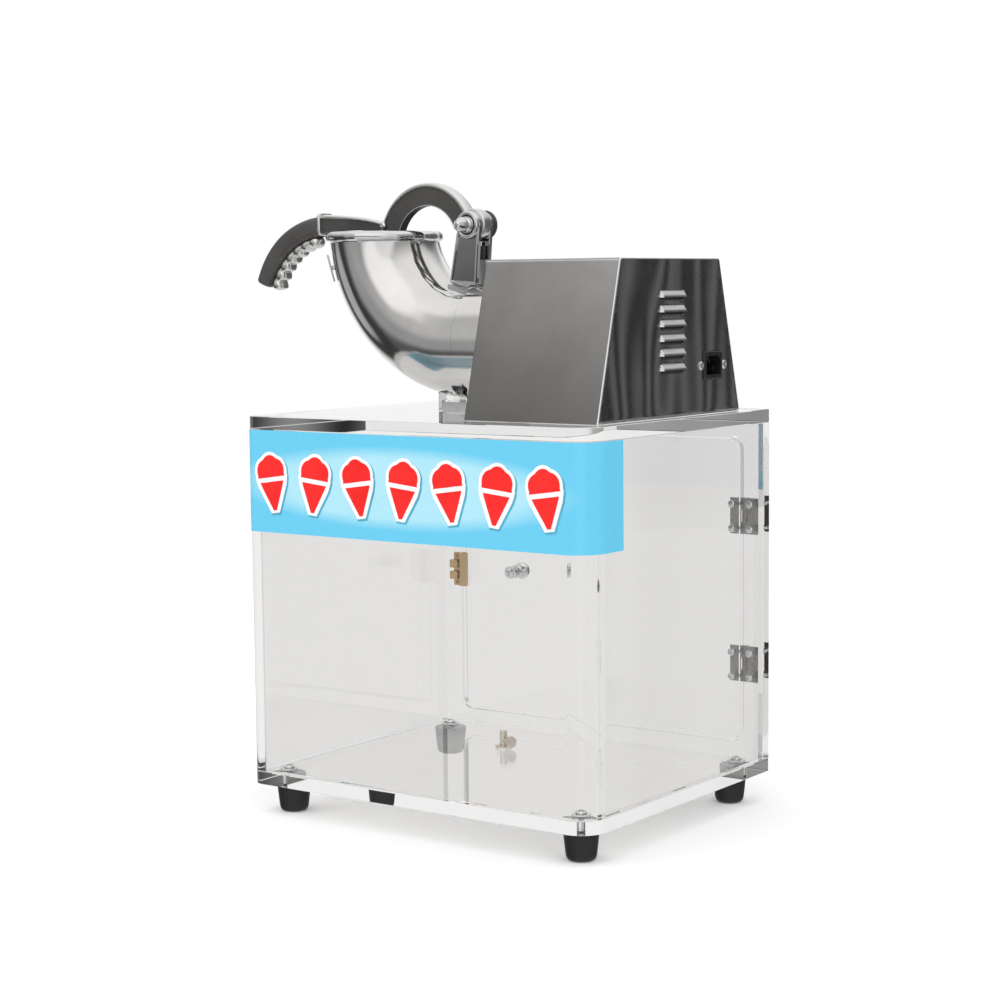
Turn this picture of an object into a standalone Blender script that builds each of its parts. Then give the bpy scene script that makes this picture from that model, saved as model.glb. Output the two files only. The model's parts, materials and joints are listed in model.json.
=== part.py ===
"""Shaved ice machine: a cast hopper elbow, motor and blade disc on a clear display cabinet with a rear door.

Lengths are in millimetres and become metres when a mesh is made. Coordinates are those of the cabinet:
X runs right along the front face, Y runs back to the door, Z is up from the surface that the feet stand on.
"""

import math

import bmesh
import bpy
from mathutils import Matrix, Vector

MM = 0.001
GAP = 0.3
CABINET_PLACE = (55.82, -7.85, 0.0)  # where the cabinet's centre stands, so that the whole is centred

# Cabinet
WIDTH, DEPTH, HEIGHT = 375.0, 305.0, 341.0
SHEET = 12.0
FOOT_HEIGHT = 27.0
FOOT_INSET = 27.0
BEND_LEFT, BEND_RIGHT = 10.0, 26.0
FLOOR = FOOT_HEIGHT + SHEET
TOP = FOOT_HEIGHT + HEIGHT
HALF_W, HALF_D = WIDTH / 2, DEPTH / 2
BANNER_HEIGHT, BANNER_THICK, BANNER_RETURN = 93.0, 1.0, 26.0

# Door, in the back panel
DOOR_HALF, DOOR_MID, DOOR_TALL = 156.0, 197.4, 288.0
DOOR_GAP, DOOR_CORNER = 1.5, 12.0
HINGE_LIFT = 70.0
HINGE_TALL, LEAF_WIDE, LEAF_THICK = 34.0, 15.0, 1.6
KNUCKLE_R, PIN_R, PIN_PLAY = 3.2, 1.6, 0.15
HINGE_AXIS = (DOOR_HALF, HALF_D + KNUCKLE_R + GAP)

# Hopper elbow, handle pivot and shaft
PIVOT = (-36.5, 0.0, 540.0)
MOUTH_DROP = 9.0
BEND_R, TUBE_R, TUBE_WALL, BEAD_R = 107.3, 52.0, 2.0, 4.6
MOUTH_X = PIVOT[0] - math.sqrt(BEND_R**2 - MOUTH_DROP**2)
MOUTH_Z = PIVOT[2] - MOUTH_DROP
ELBOW_END = PIVOT[0] + MOUTH_DROP
SHAFT_Z = PIVOT[2] + MOUTH_X - PIVOT[0]
SHAFT_R = 8.0
CHAMBER_R, CHAMBER_WALL = 60.0, 8.0
CHAMBER_BACK = 12.0

# Motor housing
HOUSE_LEFT, HOUSE_RIGHT = 36.0, 175.0
HOUSE_BASE_HALF, HOUSE_TOP_HALF = 117.0, 81.3
HOUSE_LOW, HOUSE_HIGH = TOP + 2.3, 505.4
COVER_WALL = 1.5
LOUVRES, LOUVRE_PITCH, LOUVRE_LOW, LOUVRE_LONG = 6, 12.7, 412.0, 43.0
INLET_Y, INLET_Z = 68.7, 411.5
SWITCH_LIFT = 50.0
ROCKER_TURN = Matrix(((1, 0, 0, 0), (0, 0, 1, 0), (0, -1, 0, 0), (0, 0, 0, 1)))

# Handle
ARCH = (-88.5, 524.6)
ARCH_OUT, ARCH_IN = 55.8, 34.2
BOSS_R, ARM_WIDE, EAR = 15.0, 12.0, 5.0
NECK_END = -213.2
GRIP_CENTRE = (-213.0, 459.0)
GRIP_OUT, GRIP_IN = 93.5, 74.0
GRIP_WIDE = 22.0
PUSH_R, PUSH_PLATE_R, PUSH_ANGLE = 98.0, 46.0, 246.0


def clear_scene():
    for obj in list(bpy.data.objects):
        bpy.data.objects.remove(obj)


clear_scene()
PARTS = bpy.data.collections.new("shaved_ice_machine")
CUTTERS = bpy.data.collections.new("cutters")
for group in (PARTS, CUTTERS):
    bpy.context.scene.collection.children.link(group)
ROOT = bpy.data.objects.new("cabinet_centre", None)
ROOT.location = Vector(CABINET_PLACE) * MM
PARTS.objects.link(ROOT)


# ---------------------------------------------------------------- materials
def paint(name, colour, roughness, metallic=0.0, clear=0.0):
    material = bpy.data.materials.new(name)
    material.use_nodes = True
    shader = material.node_tree.nodes["Principled BSDF"]
    shader.inputs["Base Color"].default_value = (*colour, 1.0)
    shader.inputs["Roughness"].default_value = roughness
    shader.inputs["Metallic"].default_value = metallic
    shader.inputs["Transmission Weight"].default_value = clear
    return material


ACRYLIC = dict(colour=(0.93, 0.95, 0.96), roughness=0.03, clear=0.9)
STEEL = dict(colour=(0.62, 0.61, 0.59), roughness=0.28, metallic=1.0)
CHROME = dict(colour=(0.80, 0.80, 0.80), roughness=0.08, metallic=1.0)
CAST = dict(colour=(0.66, 0.66, 0.65), roughness=0.38, metallic=1.0)
DARK = dict(colour=(0.09, 0.088, 0.085), roughness=0.45)
RUBBER = dict(colour=(0.02, 0.02, 0.02), roughness=0.7)
BRASS = dict(colour=(0.72, 0.54, 0.26), roughness=0.25, metallic=1.0)
BLACK = dict(colour=(0.015, 0.015, 0.016), roughness=0.4)
BLUE = dict(colour=(0.16, 0.62, 0.87), roughness=0.35)
RED = dict(colour=(0.7, 0.03, 0.02), roughness=0.3)


# ---------------------------------------------------------------- shape tools
def place(name, mesh, finish=None, parent=None, origin=(0, 0, 0)):
    """An object whose mesh is given about its origin. One with no finish is a cutter."""
    obj = bpy.data.objects.new(name, mesh)
    obj.parent = parent or ROOT
    obj.location = Vector(origin) * MM
    if finish is None:
        CUTTERS.objects.link(obj)
        obj.hide_render = True
        obj.display_type = "WIRE"
    else:
        PARTS.objects.link(obj)
        mesh.materials.append(paint(name, **finish))
        mesh.shade_smooth()
        mesh.set_sharp_from_angle(angle=math.radians(32))
    return obj


def mesh_of(bm, name, origin=(0, 0, 0)):
    bmesh.ops.translate(bm, verts=bm.verts, vec=-Vector(origin))
    bmesh.ops.scale(bm, verts=bm.verts, vec=(MM, MM, MM))
    bmesh.ops.recalc_face_normals(bm, faces=bm.faces)
    mesh = bpy.data.meshes.new(name)
    bm.to_mesh(mesh)
    bm.free()
    return mesh


def box(name, low, high, finish=None, bevel=0.0, **where):
    """A block between two corners, with its edges bevelled if asked."""
    low, high = Vector(low), Vector(high)
    bm = bmesh.new()
    bmesh.ops.create_cube(bm, size=1.0)
    bmesh.ops.scale(bm, verts=bm.verts, vec=high - low)
    bmesh.ops.translate(bm, verts=bm.verts, vec=(low + high) / 2)
    obj = place(name, mesh_of(bm, name, where.get("origin", (0, 0, 0))), finish, **where)
    if bevel:
        round_edges(obj, bevel)
    return obj


def round_edges(obj, width, segments=2):
    modifier = obj.modifiers.new("rounding", "BEVEL")
    modifier.width = width * MM
    modifier.segments = segments
    modifier.limit_method = "ANGLE"
    modifier.angle_limit = math.radians(40)
    return modifier


def rod(name, start, direction, length, radius, finish=None, end_radius=None, sides=32, **where):
    """A cylinder or cone from start along direction."""
    bm = bmesh.new()
    far = radius if end_radius is None else end_radius
    bmesh.ops.create_cone(bm, cap_ends=True, segments=sides, radius1=radius, radius2=far, depth=length)
    turn = Vector((0, 0, 1)).rotation_difference(Vector(direction)).to_matrix().to_4x4()
    middle = Vector(start) + Vector(direction).normalized() * length / 2
    bmesh.ops.transform(bm, verts=bm.verts, matrix=Matrix.Translation(middle) @ turn)
    return place(name, mesh_of(bm, name, where.get("origin", (0, 0, 0))), finish, **where)


def turned(name, profile, origin, direction, finish=None, steps=32, parent=None):
    """Profile points (radius, height) from top to bottom, turned about direction through origin."""
    bm = bmesh.new()
    verts = [bm.verts.new((radius, 0, height)) for radius, height in profile]
    for first, second in zip(verts, verts[1:]):
        bm.edges.new((first, second))
    bmesh.ops.scale(bm, verts=bm.verts, vec=(MM, MM, MM))
    mesh = bpy.data.meshes.new(name)
    bm.to_mesh(mesh)
    bm.free()
    obj = place(name, mesh, finish, parent, origin)
    obj.rotation_euler = Vector((0, 0, 1)).rotation_difference(Vector(direction)).to_euler()
    screw = obj.modifiers.new("turning", "SCREW")
    screw.steps = screw.render_steps = steps
    screw.use_merge_vertices = True
    screw.merge_threshold = 0.00001
    screw.use_smooth_shade = True
    return obj


def polar(centre, radius, degrees):
    angle = math.radians(degrees)
    return centre[0] + radius * math.cos(angle), centre[1] + radius * math.sin(angle)


def arc(centre, radius, start, end, steps):
    """Points of an arc, with angles in degrees."""
    return [polar(centre, radius, start + (end - start) * step / steps) for step in range(steps + 1)]


def rounded(low, high, radii, steps=6):
    """A rectangle's outline with its own radius at each corner, anticlockwise from the low corner."""
    (x0, y0), (x1, y1) = low, high
    corners = ((x0, y0, 1, 1, 180), (x1, y0, -1, 1, 270), (x1, y1, -1, -1, 0), (x0, y1, 1, -1, 90))
    outline = []
    for (x, y, dx, dy, start), radius in zip(corners, radii):
        outline += arc((x + dx * radius, y + dy * radius), radius, start, start + 90, steps)
    return outline


PLANES = {
    "XY": Matrix.Identity(4),
    "XZ": Matrix.Rotation(math.radians(90), 4, "X"),
    "YZ": Matrix(((0, 0, 1, 0), (1, 0, 0, 0), (0, 1, 0, 0), (0, 0, 0, 1))),
}


def slab(name, outline, plane, start, end, finish=None, bevel=0.0, parent=None, origin=(0, 0, 0)):
    """A flat outline in one plane, made thick from start to end along the third axis."""
    curve = bpy.data.curves.new(name, "CURVE")
    curve.dimensions = "2D"
    curve.fill_mode = "BOTH"
    curve.extrude = (end - start) / 2
    spline = curve.splines.new("POLY")
    spline.points.add(len(outline) - 1)
    for point, (u, v) in zip(spline.points, outline):
        point.co = (u, v, 0, 1)
    spline.use_cyclic_u = True
    guide = bpy.data.objects.new(name, curve)
    bpy.context.scene.collection.objects.link(guide)
    evaluated = guide.evaluated_get(bpy.context.evaluated_depsgraph_get())
    bm = bmesh.new()
    bm.from_mesh(bpy.data.meshes.new_from_object(evaluated))
    bpy.data.objects.remove(guide)
    bmesh.ops.remove_doubles(bm, verts=bm.verts, dist=0.001)
    third = {"XY": (0, 0, 1), "XZ": (0, 1, 0), "YZ": (1, 0, 0)}[plane]
    shift = Matrix.Translation(Vector(third) * (start + end) / 2)
    bmesh.ops.transform(bm, verts=bm.verts, matrix=shift @ PLANES[plane])
    obj = place(name, mesh_of(bm, name, origin), finish, parent, origin)
    if bevel:
        round_edges(obj, bevel)
    return obj


def ring(name, centre, major, minor, around, across):
    """A torus about the Z axis, as a cutter."""
    bm = bmesh.new()
    bmesh.ops.create_circle(bm, cap_ends=False, segments=across, radius=minor)
    turn = Matrix.Translation((major, 0, 0)) @ Matrix.Rotation(math.radians(90), 4, "X")
    bmesh.ops.transform(bm, verts=bm.verts, matrix=turn)
    whole = {"angle": 2 * math.pi, "steps": around, "use_merge": True}
    bmesh.ops.spin(bm, geom=list(bm.edges), cent=(0, 0, 0), axis=(0, 0, 1), **whole)
    bmesh.ops.remove_doubles(bm, verts=bm.verts, dist=0.01)
    return place(name, mesh_of(bm, name), origin=centre)


def boolean(obj, tool, operation="DIFFERENCE"):
    modifier = obj.modifiers.new(tool.name, "BOOLEAN")
    modifier.operation = operation
    modifier.solver = "EXACT"
    modifier.object = tool
    return modifier


def fuse(obj, *tools):
    for tool in tools:
        boolean(obj, tool, "UNION")


def thicken(obj, thickness, offset=-1.0):
    modifier = obj.modifiers.new("wall", "SOLIDIFY")
    modifier.thickness = thickness * MM
    modifier.offset = offset
    modifier.use_even_offset = True
    modifier.use_quality_normals = True
    return modifier


def wall(name, path, low, high, finish, thickness, offset=-1.0):
    """A wall that stands on an open path in plan and gets its thickness from Solidify."""
    bm = bmesh.new()
    verts = [bm.verts.new((x, y, low)) for x, y in path]
    edges = [bm.edges.new(pair) for pair in zip(verts, verts[1:])]
    grown = bmesh.ops.extrude_edge_only(bm, edges=edges)["geom"]
    raised = [item for item in grown if isinstance(item, bmesh.types.BMVert)]
    bmesh.ops.translate(bm, verts=raised, vec=(0, 0, high - low))
    obj = place(name, mesh_of(bm, name), finish)
    leftmost = min(obj.data.polygons, key=lambda face: face.center.x)
    if leftmost.normal.x > 0:
        obj.data.flip_normals()
    thicken(obj, thickness, offset)
    return obj


# ---------------------------------------------------------------- cabinet
def front_path(outset, back):
    """The cabinet's plan from the left side, round the front, to the right side."""
    left, right, front = -HALF_W - outset, HALF_W + outset, -HALF_D - outset
    bend_left, bend_right = BEND_LEFT + outset, BEND_RIGHT + outset
    path = [(left, back)]
    path += arc((left + bend_left, front + bend_left), bend_left, 180, 270, 6)
    path += arc((right - bend_right, front + bend_right), bend_right, 270, 360, 10)
    return path + [(right, back)]


def plate(name, low, high):
    radii = (BEND_LEFT, BEND_RIGHT, 1.5, 1.5)
    return slab(name, rounded((-HALF_W, -HALF_D), (HALF_W, HALF_D), radii, 8), "XY", low, high, ACRYLIC)


CORNERS = [(x, y) for y in (-1, 1) for x in (-1, 1)]
CORNER_NAMES = ("front_left", "front_right", "back_left", "back_right")


def make_cabinet():
    inside = HALF_D - SHEET
    wall("cabinet_shell", front_path(0, inside - GAP), FLOOR + GAP, TOP - SHEET - GAP, ACRYLIC, SHEET)
    banner_end = -HALF_D + BEND_RIGHT + BANNER_RETURN
    banner_top = TOP - SHEET - GAP
    banner_path, banner_low = front_path(GAP, banner_end), banner_top - BANNER_HEIGHT
    wall("banner", banner_path, banner_low, banner_top, BLUE, BANNER_THICK, 1.0)
    top = plate("top_plate", TOP - SHEET, TOP)
    boolean(top, box("ice_hole", (-22.5, -22.5, TOP - 20), (4.5, 22.5, TOP + 20)))
    bottom = plate("bottom_plate", FOOT_HEIGHT, FLOOR)
    back = box("back_panel", (-HALF_W, inside, FLOOR + GAP), (HALF_W, HALF_D, TOP - SHEET - GAP), ACRYLIC)
    low, high = DOOR_MID - DOOR_TALL / 2, DOOR_MID + DOOR_TALL / 2
    doorway = rounded((-DOOR_HALF, low), (DOOR_HALF, high), [DOOR_CORNER] * 4)
    boolean(back, slab("doorway", doorway, "XZ", inside - 10, HALF_D + 10))
    for (side, end), corner in zip(CORNERS, CORNER_NAMES):
        make_foot(corner, side * (HALF_W - FOOT_INSET), end * (HALF_D - FOOT_INSET), bottom)
    make_drain(-50.0, 62.0)


def make_foot(corner, x, y, bottom):
    """A tapered rubber foot and the screw and washer that hold it from inside."""
    profile = [(0, FOOT_HEIGHT - GAP), (15.5, FOOT_HEIGHT - GAP), (13.4, 4.5), (12.4, 1.5), (10.4, 0), (0, 0)]
    foot = turned(f"foot_{corner}", profile, (x, y, 0), (0, 0, 1), RUBBER, steps=20)
    hole = rod(f"screw_hole_{corner}", (x, y, 10), (0, 0, 1), 40, 2.8, sides=16)
    boolean(foot, hole)
    boolean(bottom, hole)
    head = [(0, 5.4), (2.6, 5.4), (4.8, 3.6), (4.8, 1.6), (8.5, 1.6), (8.5, 0.3)]
    head += [(2.4, 0.3), (2.4, -26), (0, -26)]
    turned(f"foot_screw_{corner}", head, (x, y, FLOOR), (0, 0, 1), STEEL, steps=14)


def make_drain(x, y):
    """A small elbow fitting on the floor that lets melt water out."""
    base = FLOOR + GAP
    fitting = rod("drain_fitting", (x, y, base), (0, 0, 1), 2.0, 8.0, BRASS, sides=24)
    fuse(
        fitting,
        rod("drain_barrel", (x, y, base + 1), (0, 0, 1), 15, 3.6, sides=20),
        rod("drain_arm", (x, y, base + 6.5), (1, -0.35, 0), 12, 2.8, sides=16),
        rod("drain_nut", (x + 9, y - 3.15, base + 6.5), (1, -0.35, 0), 4, 6.0, sides=6),
    )


# ---------------------------------------------------------------- door
def make_door():
    half, tall = DOOR_HALF - DOOR_GAP, DOOR_TALL / 2 - DOOR_GAP
    inside = HALF_D - SHEET
    swing = bpy.data.objects.new("door_axis", None)
    swing.parent = ROOT
    swing.location = Vector((*HINGE_AXIS, DOOR_MID)) * MM
    PARTS.objects.link(swing)
    axis = (*HINGE_AXIS, DOOR_MID)
    low, high = (-half, DOOR_MID - tall), (half, DOOR_MID + tall)
    outline = rounded(low, high, [DOOR_CORNER - DOOR_GAP] * 4)
    door = slab("door", outline, "XZ", inside + GAP, HALF_D - GAP, ACRYLIC)
    hang(door, swing, axis)
    knob_x, knob_z = -96.0, DOOR_MID
    boolean(door, rod("knob_hole", (knob_x, HALF_D - 30, knob_z), (0, 1, 0), 60, 2.6, sides=16))
    knob = [(0, 17), (4.5, 16.5), (7.5, 14.5), (8.6, 11.5), (7.8, 8.4)]
    knob += [(4.6, 5.6), (4.2, 3.0), (6.5, 0.6), (6.5, 0), (0, 0)]
    hang(turned("door_knob", knob, (knob_x, HALF_D, knob_z), (0, 1, 0), CHROME, steps=18), swing, axis)
    screw = [(0, 3.2), (2.4, 3.0), (4.0, 1.8), (4.0, 0.9), (6.5, 0.9), (6.5, 0)]
    screw += [(2.2, 0), (2.2, -11), (0, -11)]
    hang(turned("knob_screw", screw, (knob_x, inside, knob_z), (0, -1, 0), STEEL, steps=14), swing, axis)
    for level, lift in (("upper", HINGE_LIFT), ("lower", -HINGE_LIFT)):
        make_hinge(level, DOOR_MID + lift, swing, axis)
    make_catch(swing, axis)


def hang(obj, parent, axis):
    """Moves a piece made in cabinet coordinates under a parent that stands at axis."""
    obj.parent = parent
    obj.location = obj.location - Vector(axis) * MM


def make_hinge(level, mid, swing, axis):
    """A butt hinge: the outer knuckles and pin on the panel's leaf, the middle knuckle on the door's."""
    x, y = HINGE_AXIS
    face = HALF_D + GAP
    low, high = mid - HINGE_TALL / 2, mid + HINGE_TALL / 2
    third = HINGE_TALL / 3
    back = face + LEAF_THICK
    fixed = box(f"{level}_hinge_panel_leaf", (x + 0.5, face, low), (x + LEAF_WIDE, back, high), STEEL)
    ends = ((low, third - GAP), (high - third + GAP, third - GAP))
    for place_name, (start, length) in zip(("bottom", "top"), ends):
        knuckle = rod(f"{level}_{place_name}_knuckle", (x, y, start), (0, 0, 1), length, KNUCKLE_R, sides=24)
        fuse(fixed, knuckle)
    clear = box(f"{level}_knuckle_room", (x - 6, face - 3, low + third), (x + 4, face + 10, high - third))
    moving = box(f"{level}_hinge_door_leaf", (x - LEAF_WIDE, face, low), (x - 0.5, back, high), STEEL)
    middle = rod(f"{level}_middle_knuckle", (x, y, low + third), (0, 0, 1), third, KNUCKLE_R, sides=24)
    for place_name, start in (("bottom", low - 1), ("top", high - third - GAP)):
        room = (x - 4, face - 3, start), (x + 4, face + 10, start + third + 1 + GAP)
        boolean(moving, box(f"{level}_{place_name}_room", *room))
    fuse(moving, middle)
    pin_hole = rod(f"{level}_pin_hole", (x, y, low), (0, 0, 1), HINGE_TALL, PIN_R + PIN_PLAY, sides=24)
    boolean(moving, pin_hole)
    boolean(fixed, clear)
    fuse(fixed, rod(f"{level}_pin", (x, y, low + 1), (0, 0, 1), HINGE_TALL - 2, PIN_R, sides=24))
    hang(moving, swing, axis)


def make_catch(swing, axis):
    """A brass ball catch: its body on the panel, its strike on the door."""
    y = HALF_D - SHEET
    low, high = DOOR_MID - 17, DOOR_MID + 17
    body = box("catch_body", (-164.0, y - 9.0, low), (-157.2, y - GAP, high), BRASS)
    for name, lift in (("upper", 8), ("lower", -8)):
        ball = (-160.0, y - 4.6, DOOR_MID + lift)
        fuse(body, rod(f"catch_ball_{name}", ball, (1, 0, 0), 5.2, 2.6, end_radius=1.2, sides=16))
    strike = box("catch_strike", (-154.2, y - 6.5, low), (-147.5, y, high), BRASS)
    hang(strike, swing, axis)


# ---------------------------------------------------------------- motor housing
def make_housing():
    low, high = (HOUSE_LEFT, -HOUSE_BASE_HALF, TOP + GAP), (HOUSE_RIGHT, HOUSE_BASE_HALF, HOUSE_LOW - 0.8)
    box("housing_base", low, high, STEEL)
    cover = make_cover()
    cut_louvres(cover)
    make_inlet(cover)
    make_rocker(cover)


def make_cover():
    """The folded cover: a trapezium in the YZ plane, open below."""
    bm = bmesh.new()
    bmesh.ops.create_cube(bm, size=1.0)
    size = (HOUSE_RIGHT - HOUSE_LEFT, 2 * HOUSE_BASE_HALF, HOUSE_HIGH - HOUSE_LOW)
    bmesh.ops.scale(bm, verts=bm.verts, vec=size)
    middle = ((HOUSE_LEFT + HOUSE_RIGHT) / 2, 0, (HOUSE_LOW + HOUSE_HIGH) / 2)
    bmesh.ops.translate(bm, verts=bm.verts, vec=middle)
    upper = [vert for vert in bm.verts if vert.co.z > middle[2]]
    bmesh.ops.scale(bm, verts=upper, vec=(1, HOUSE_TOP_HALF / HOUSE_BASE_HALF, 1))
    bmesh.ops.delete(bm, geom=[face for face in bm.faces if face.normal.z < -0.9], context="FACES_ONLY")
    cover = place("housing_cover", mesh_of(bm, "housing_cover"), STEEL)
    thicken(cover, COVER_WALL)
    boolean(cover, rod("shaft_way", (HOUSE_LEFT - 5, 0, SHAFT_Z), (1, 0, 0), 10, 12, sides=24))
    return cover


def cut_louvres(cover):
    """Pressed hoods over slots on the right face, one joined tool each for the hoods and the slots."""
    hoods, slots = bmesh.new(), bmesh.new()
    for row in range(LOUVRES):
        z = LOUVRE_LOW + row * LOUVRE_PITCH
        for bm, depth, tall, drop in ((hoods, 3.2, 6.6, 0.0), (slots, 8.0, 3.6, -0.5)):
            made = bmesh.ops.create_cube(bm, size=1.0)["verts"]
            long = LOUVRE_LONG if bm is hoods else LOUVRE_LONG - 5
            bmesh.ops.scale(bm, verts=made, vec=(depth, long, tall))
            start = HOUSE_RIGHT - 0.6 if bm is hoods else HOUSE_RIGHT - 5.5
            bmesh.ops.translate(bm, verts=made, vec=(start + depth / 2, 0, z + drop))
            if bm is hoods:
                upper = [vert for vert in made if vert.co.z > z and vert.co.x > HOUSE_RIGHT + 1]
                bmesh.ops.translate(bm, verts=upper, vec=(-2.0, 0, 0))
    fuse(cover, place("louvre_hoods", mesh_of(hoods, "louvre_hoods")))
    boolean(cover, place("louvre_slots", mesh_of(slots, "louvre_slots")))


def make_inlet(cover):
    """A three-pin appliance inlet, held from inside by two screws."""
    y, z, face = INLET_Y, INLET_Z, HOUSE_RIGHT
    half_y, half_z = 16.0, 12.5
    opening = (face - 5, y - half_y - GAP, z - half_z - GAP), (face + 5, y + half_y + GAP, z + half_z + GAP)
    boolean(cover, box("inlet_opening", *opening))
    low, high = (face - 22, y - half_y, z - half_z), (face + 1.6, y + half_y, z + half_z)
    inlet = box("power_inlet", low, high, BLACK, 1.0)
    flange = (face - COVER_WALL - GAP - 2.5, y - 25, z - 13.5), (face - COVER_WALL - GAP, y + 25, z + 13.5)
    fuse(inlet, box("inlet_flange", *flange))
    cavity = [(-8.0, 8.5), (-12.5, 4.0), (-12.5, -8.5), (12.5, -8.5), (12.5, 4.0), (8.0, 8.5)]
    outline = [(y + u, z + v) for u, v in cavity]
    boolean(inlet, slab("inlet_cavity", outline, "YZ", face - 15, face + 6))
    for name, u, v in (("earth", 0, 3.5), ("live", -7, -3), ("neutral", 7, -3)):
        pin = (face - 17, y + u - 1.0, z + v - 2.0), (face - 3, y + u + 1.0, z + v + 2.0)
        fuse(inlet, box(f"inlet_{name}_pin", *pin))
    for name, side in (("front", -1), ("back", 1)):
        screw_y = y + side * 20
        hole = rod(f"inlet_screw_hole_{name}", (face - 8, screw_y, z), (1, 0, 0), 14, 1.9, sides=16)
        boolean(cover, hole)
        boolean(inlet, hole)
        profile = [(0, 2.2), (1.8, 2.0), (3.2, 1.0), (3.2, 0.3), (1.6, 0.3), (1.6, -5), (0, -5)]
        turned(f"inlet_screw_{name}", profile, (face, screw_y, z), (1, 0, 0), CHROME, steps=12)


def make_rocker(cover):
    """A rocker switch on the sloping back face, where the person serving stands."""
    slope = math.atan2(HOUSE_BASE_HALF - HOUSE_TOP_HALF, HOUSE_HIGH - HOUSE_LOW)
    face = bpy.data.objects.new("switch_face", None)
    face.parent = ROOT
    y = HOUSE_BASE_HALF - SWITCH_LIFT * math.tan(slope)
    face.location = Vector((HOUSE_RIGHT - 45, y, HOUSE_LOW + SWITCH_LIFT)) * MM
    face.rotation_euler = (slope, 0, 0)
    PARTS.objects.link(face)
    boolean(cover, box("switch_opening", (-11.3, -6, -14.3), (11.3, 4, 14.3), parent=face))
    bezel = box("switch_bezel", (-13, GAP, -16), (13, 2.4, 16), BLACK, 0.8, parent=face)
    fuse(bezel, box("switch_body", (-10.8, -20, -13.8), (10.8, 1.5, 13.8), parent=face))
    boolean(bezel, box("switch_well", (-8.3, -10, -11.3), (8.3, 8, 11.3), parent=face))
    tilt = bpy.data.objects.new("rocker_axis", None)
    tilt.parent = face
    tilt.rotation_euler = (math.radians(-7), 0, 0)
    PARTS.objects.link(tilt)
    outline = arc((0, -18), 23.6, 65.5, 114.5, 8) + [(-9.8, -1.0), (-4, -4.5), (4, -4.5), (9.8, -1.0)]
    slab("rocker_switch", outline[::-1], "YZ", -7.9, 7.9, RED, parent=tilt).data.transform(ROCKER_TURN)


# ---------------------------------------------------------------- hopper and cutting chamber
def spun(radius, angle=90.0, steps=15, sides=28):
    """The hopper's circular section swung about the handle pivot; open at both ends."""
    bm = bmesh.new()
    bmesh.ops.create_circle(bm, cap_ends=False, segments=sides, radius=radius)
    bmesh.ops.translate(bm, verts=bm.verts, vec=(MOUTH_X, 0, MOUTH_Z))
    turn = math.radians(angle)
    bmesh.ops.spin(bm, geom=list(bm.edges), cent=PIVOT, axis=(0, -1, 0), angle=turn, steps=steps)
    return bm


def make_hopper():
    bm = spun(TUBE_R)
    hopper = place("hopper", mesh_of(bm, "hopper"), STEEL)
    thicken(hopper, TUBE_WALL)
    fuse(hopper, ring("rolled_rim", (MOUTH_X, 0, MOUTH_Z), TUBE_R - 0.8, BEAD_R, 32, 8))
    flange = rod("outlet_flange", (ELBOW_END - 4, 0, SHAFT_Z), (1, 0, 0), 4, TUBE_R + 2.4, sides=28)
    boolean(flange, rod("outlet_bore", (ELBOW_END - 20, 0, SHAFT_Z), (1, 0, 0), 40, TUBE_R - 1, sides=28))
    fuse(hopper, flange)
    make_badge()


def make_badge():
    """A small blank plate on the outside of the elbow."""
    centre = (MOUTH_X + 6 - 55.8 * 0.78, -55.8 * 0.63, 502.0)
    badge = box("hopper_badge", (-6, -0.8, -13), (6, 0.8, 13), STEEL, 0.3)
    badge.location = Vector(centre) * MM
    badge.rotation_euler = (0, 0, math.radians(-51))
    badge.rotation_euler.rotate_axis("X", math.radians(14))
    peg = rod("badge_peg", (0, 0, 0), (0, 1, 0), 2.6, 2.2, sides=12)
    peg.parent = badge
    fuse(badge, peg)


def make_chamber():
    """The cutting chamber between the elbow and the motor, and the chute that drops the shaved ice."""
    start = ELBOW_END + GAP
    length = CHAMBER_BACK - start
    chamber = rod("cutter_housing", (start, 0, SHAFT_Z), (1, 0, 0), length, CHAMBER_R, CAST, sides=40)
    foot = box("chamber_foot", (-54, -30, TOP + GAP), (16, 30, TOP + 10))
    boolean(foot, ELBOW)
    neck = box("chamber_neck", (start, -27, TOP + GAP), (9, 27, TOP + 30))
    fuse(chamber, foot, neck)
    inner = CHAMBER_R - CHAMBER_WALL
    boolean(chamber, rod("cutting_room", (start - 5, 0, SHAFT_Z), (1, 0, 0), 5 + 31.2, inner, sides=40))
    boolean(chamber, box("drop_way", (-22, -22, TOP - 10), (3.5, 22, SHAFT_Z - 30)))
    boolean(chamber, rod("bearing_seat", (0, 0, SHAFT_Z), (1, 0, 0), 30, 15 + GAP, sides=32))
    ring = [(15, 3.5), (15, -3.5), (SHAFT_R + GAP, -3.5), (SHAFT_R + GAP, 3.5), (15, 3.5)]
    turned("front_bearing", ring, (8, 0, SHAFT_Z), (1, 0, 0), CHROME)
    chute = box("ice_chute", (-25, -25, TOP - SHEET - 32), (7, 25, TOP - SHEET - GAP), STEEL)
    fuse(chute, box("chute_flange", (-33, -33, TOP - SHEET - 3), (15, 33, TOP - SHEET - GAP)))
    boolean(chute, box("chute_way", (-22, -22, TOP - 60), (4, 22, TOP + 5)))
    block = box("support_block", (-74, -10, TOP + GAP), (-56, 10, TOP + 19), ACRYLIC)
    boolean(block, ELBOW)
    boolean(block, rod("support_screw_hole", (-65, -14, TOP + 8), (0, 1, 0), 16, 2.0, sides=16))
    profile = [(0, 2.0), (1.8, 1.8), (3.4, 0.9), (3.4, 0.3), (1.7, 0.3), (1.7, -11), (0, -11)]
    turned("support_screw", profile, (-65, -10, TOP + 8), (0, -1, 0), STEEL, steps=14)


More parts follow.
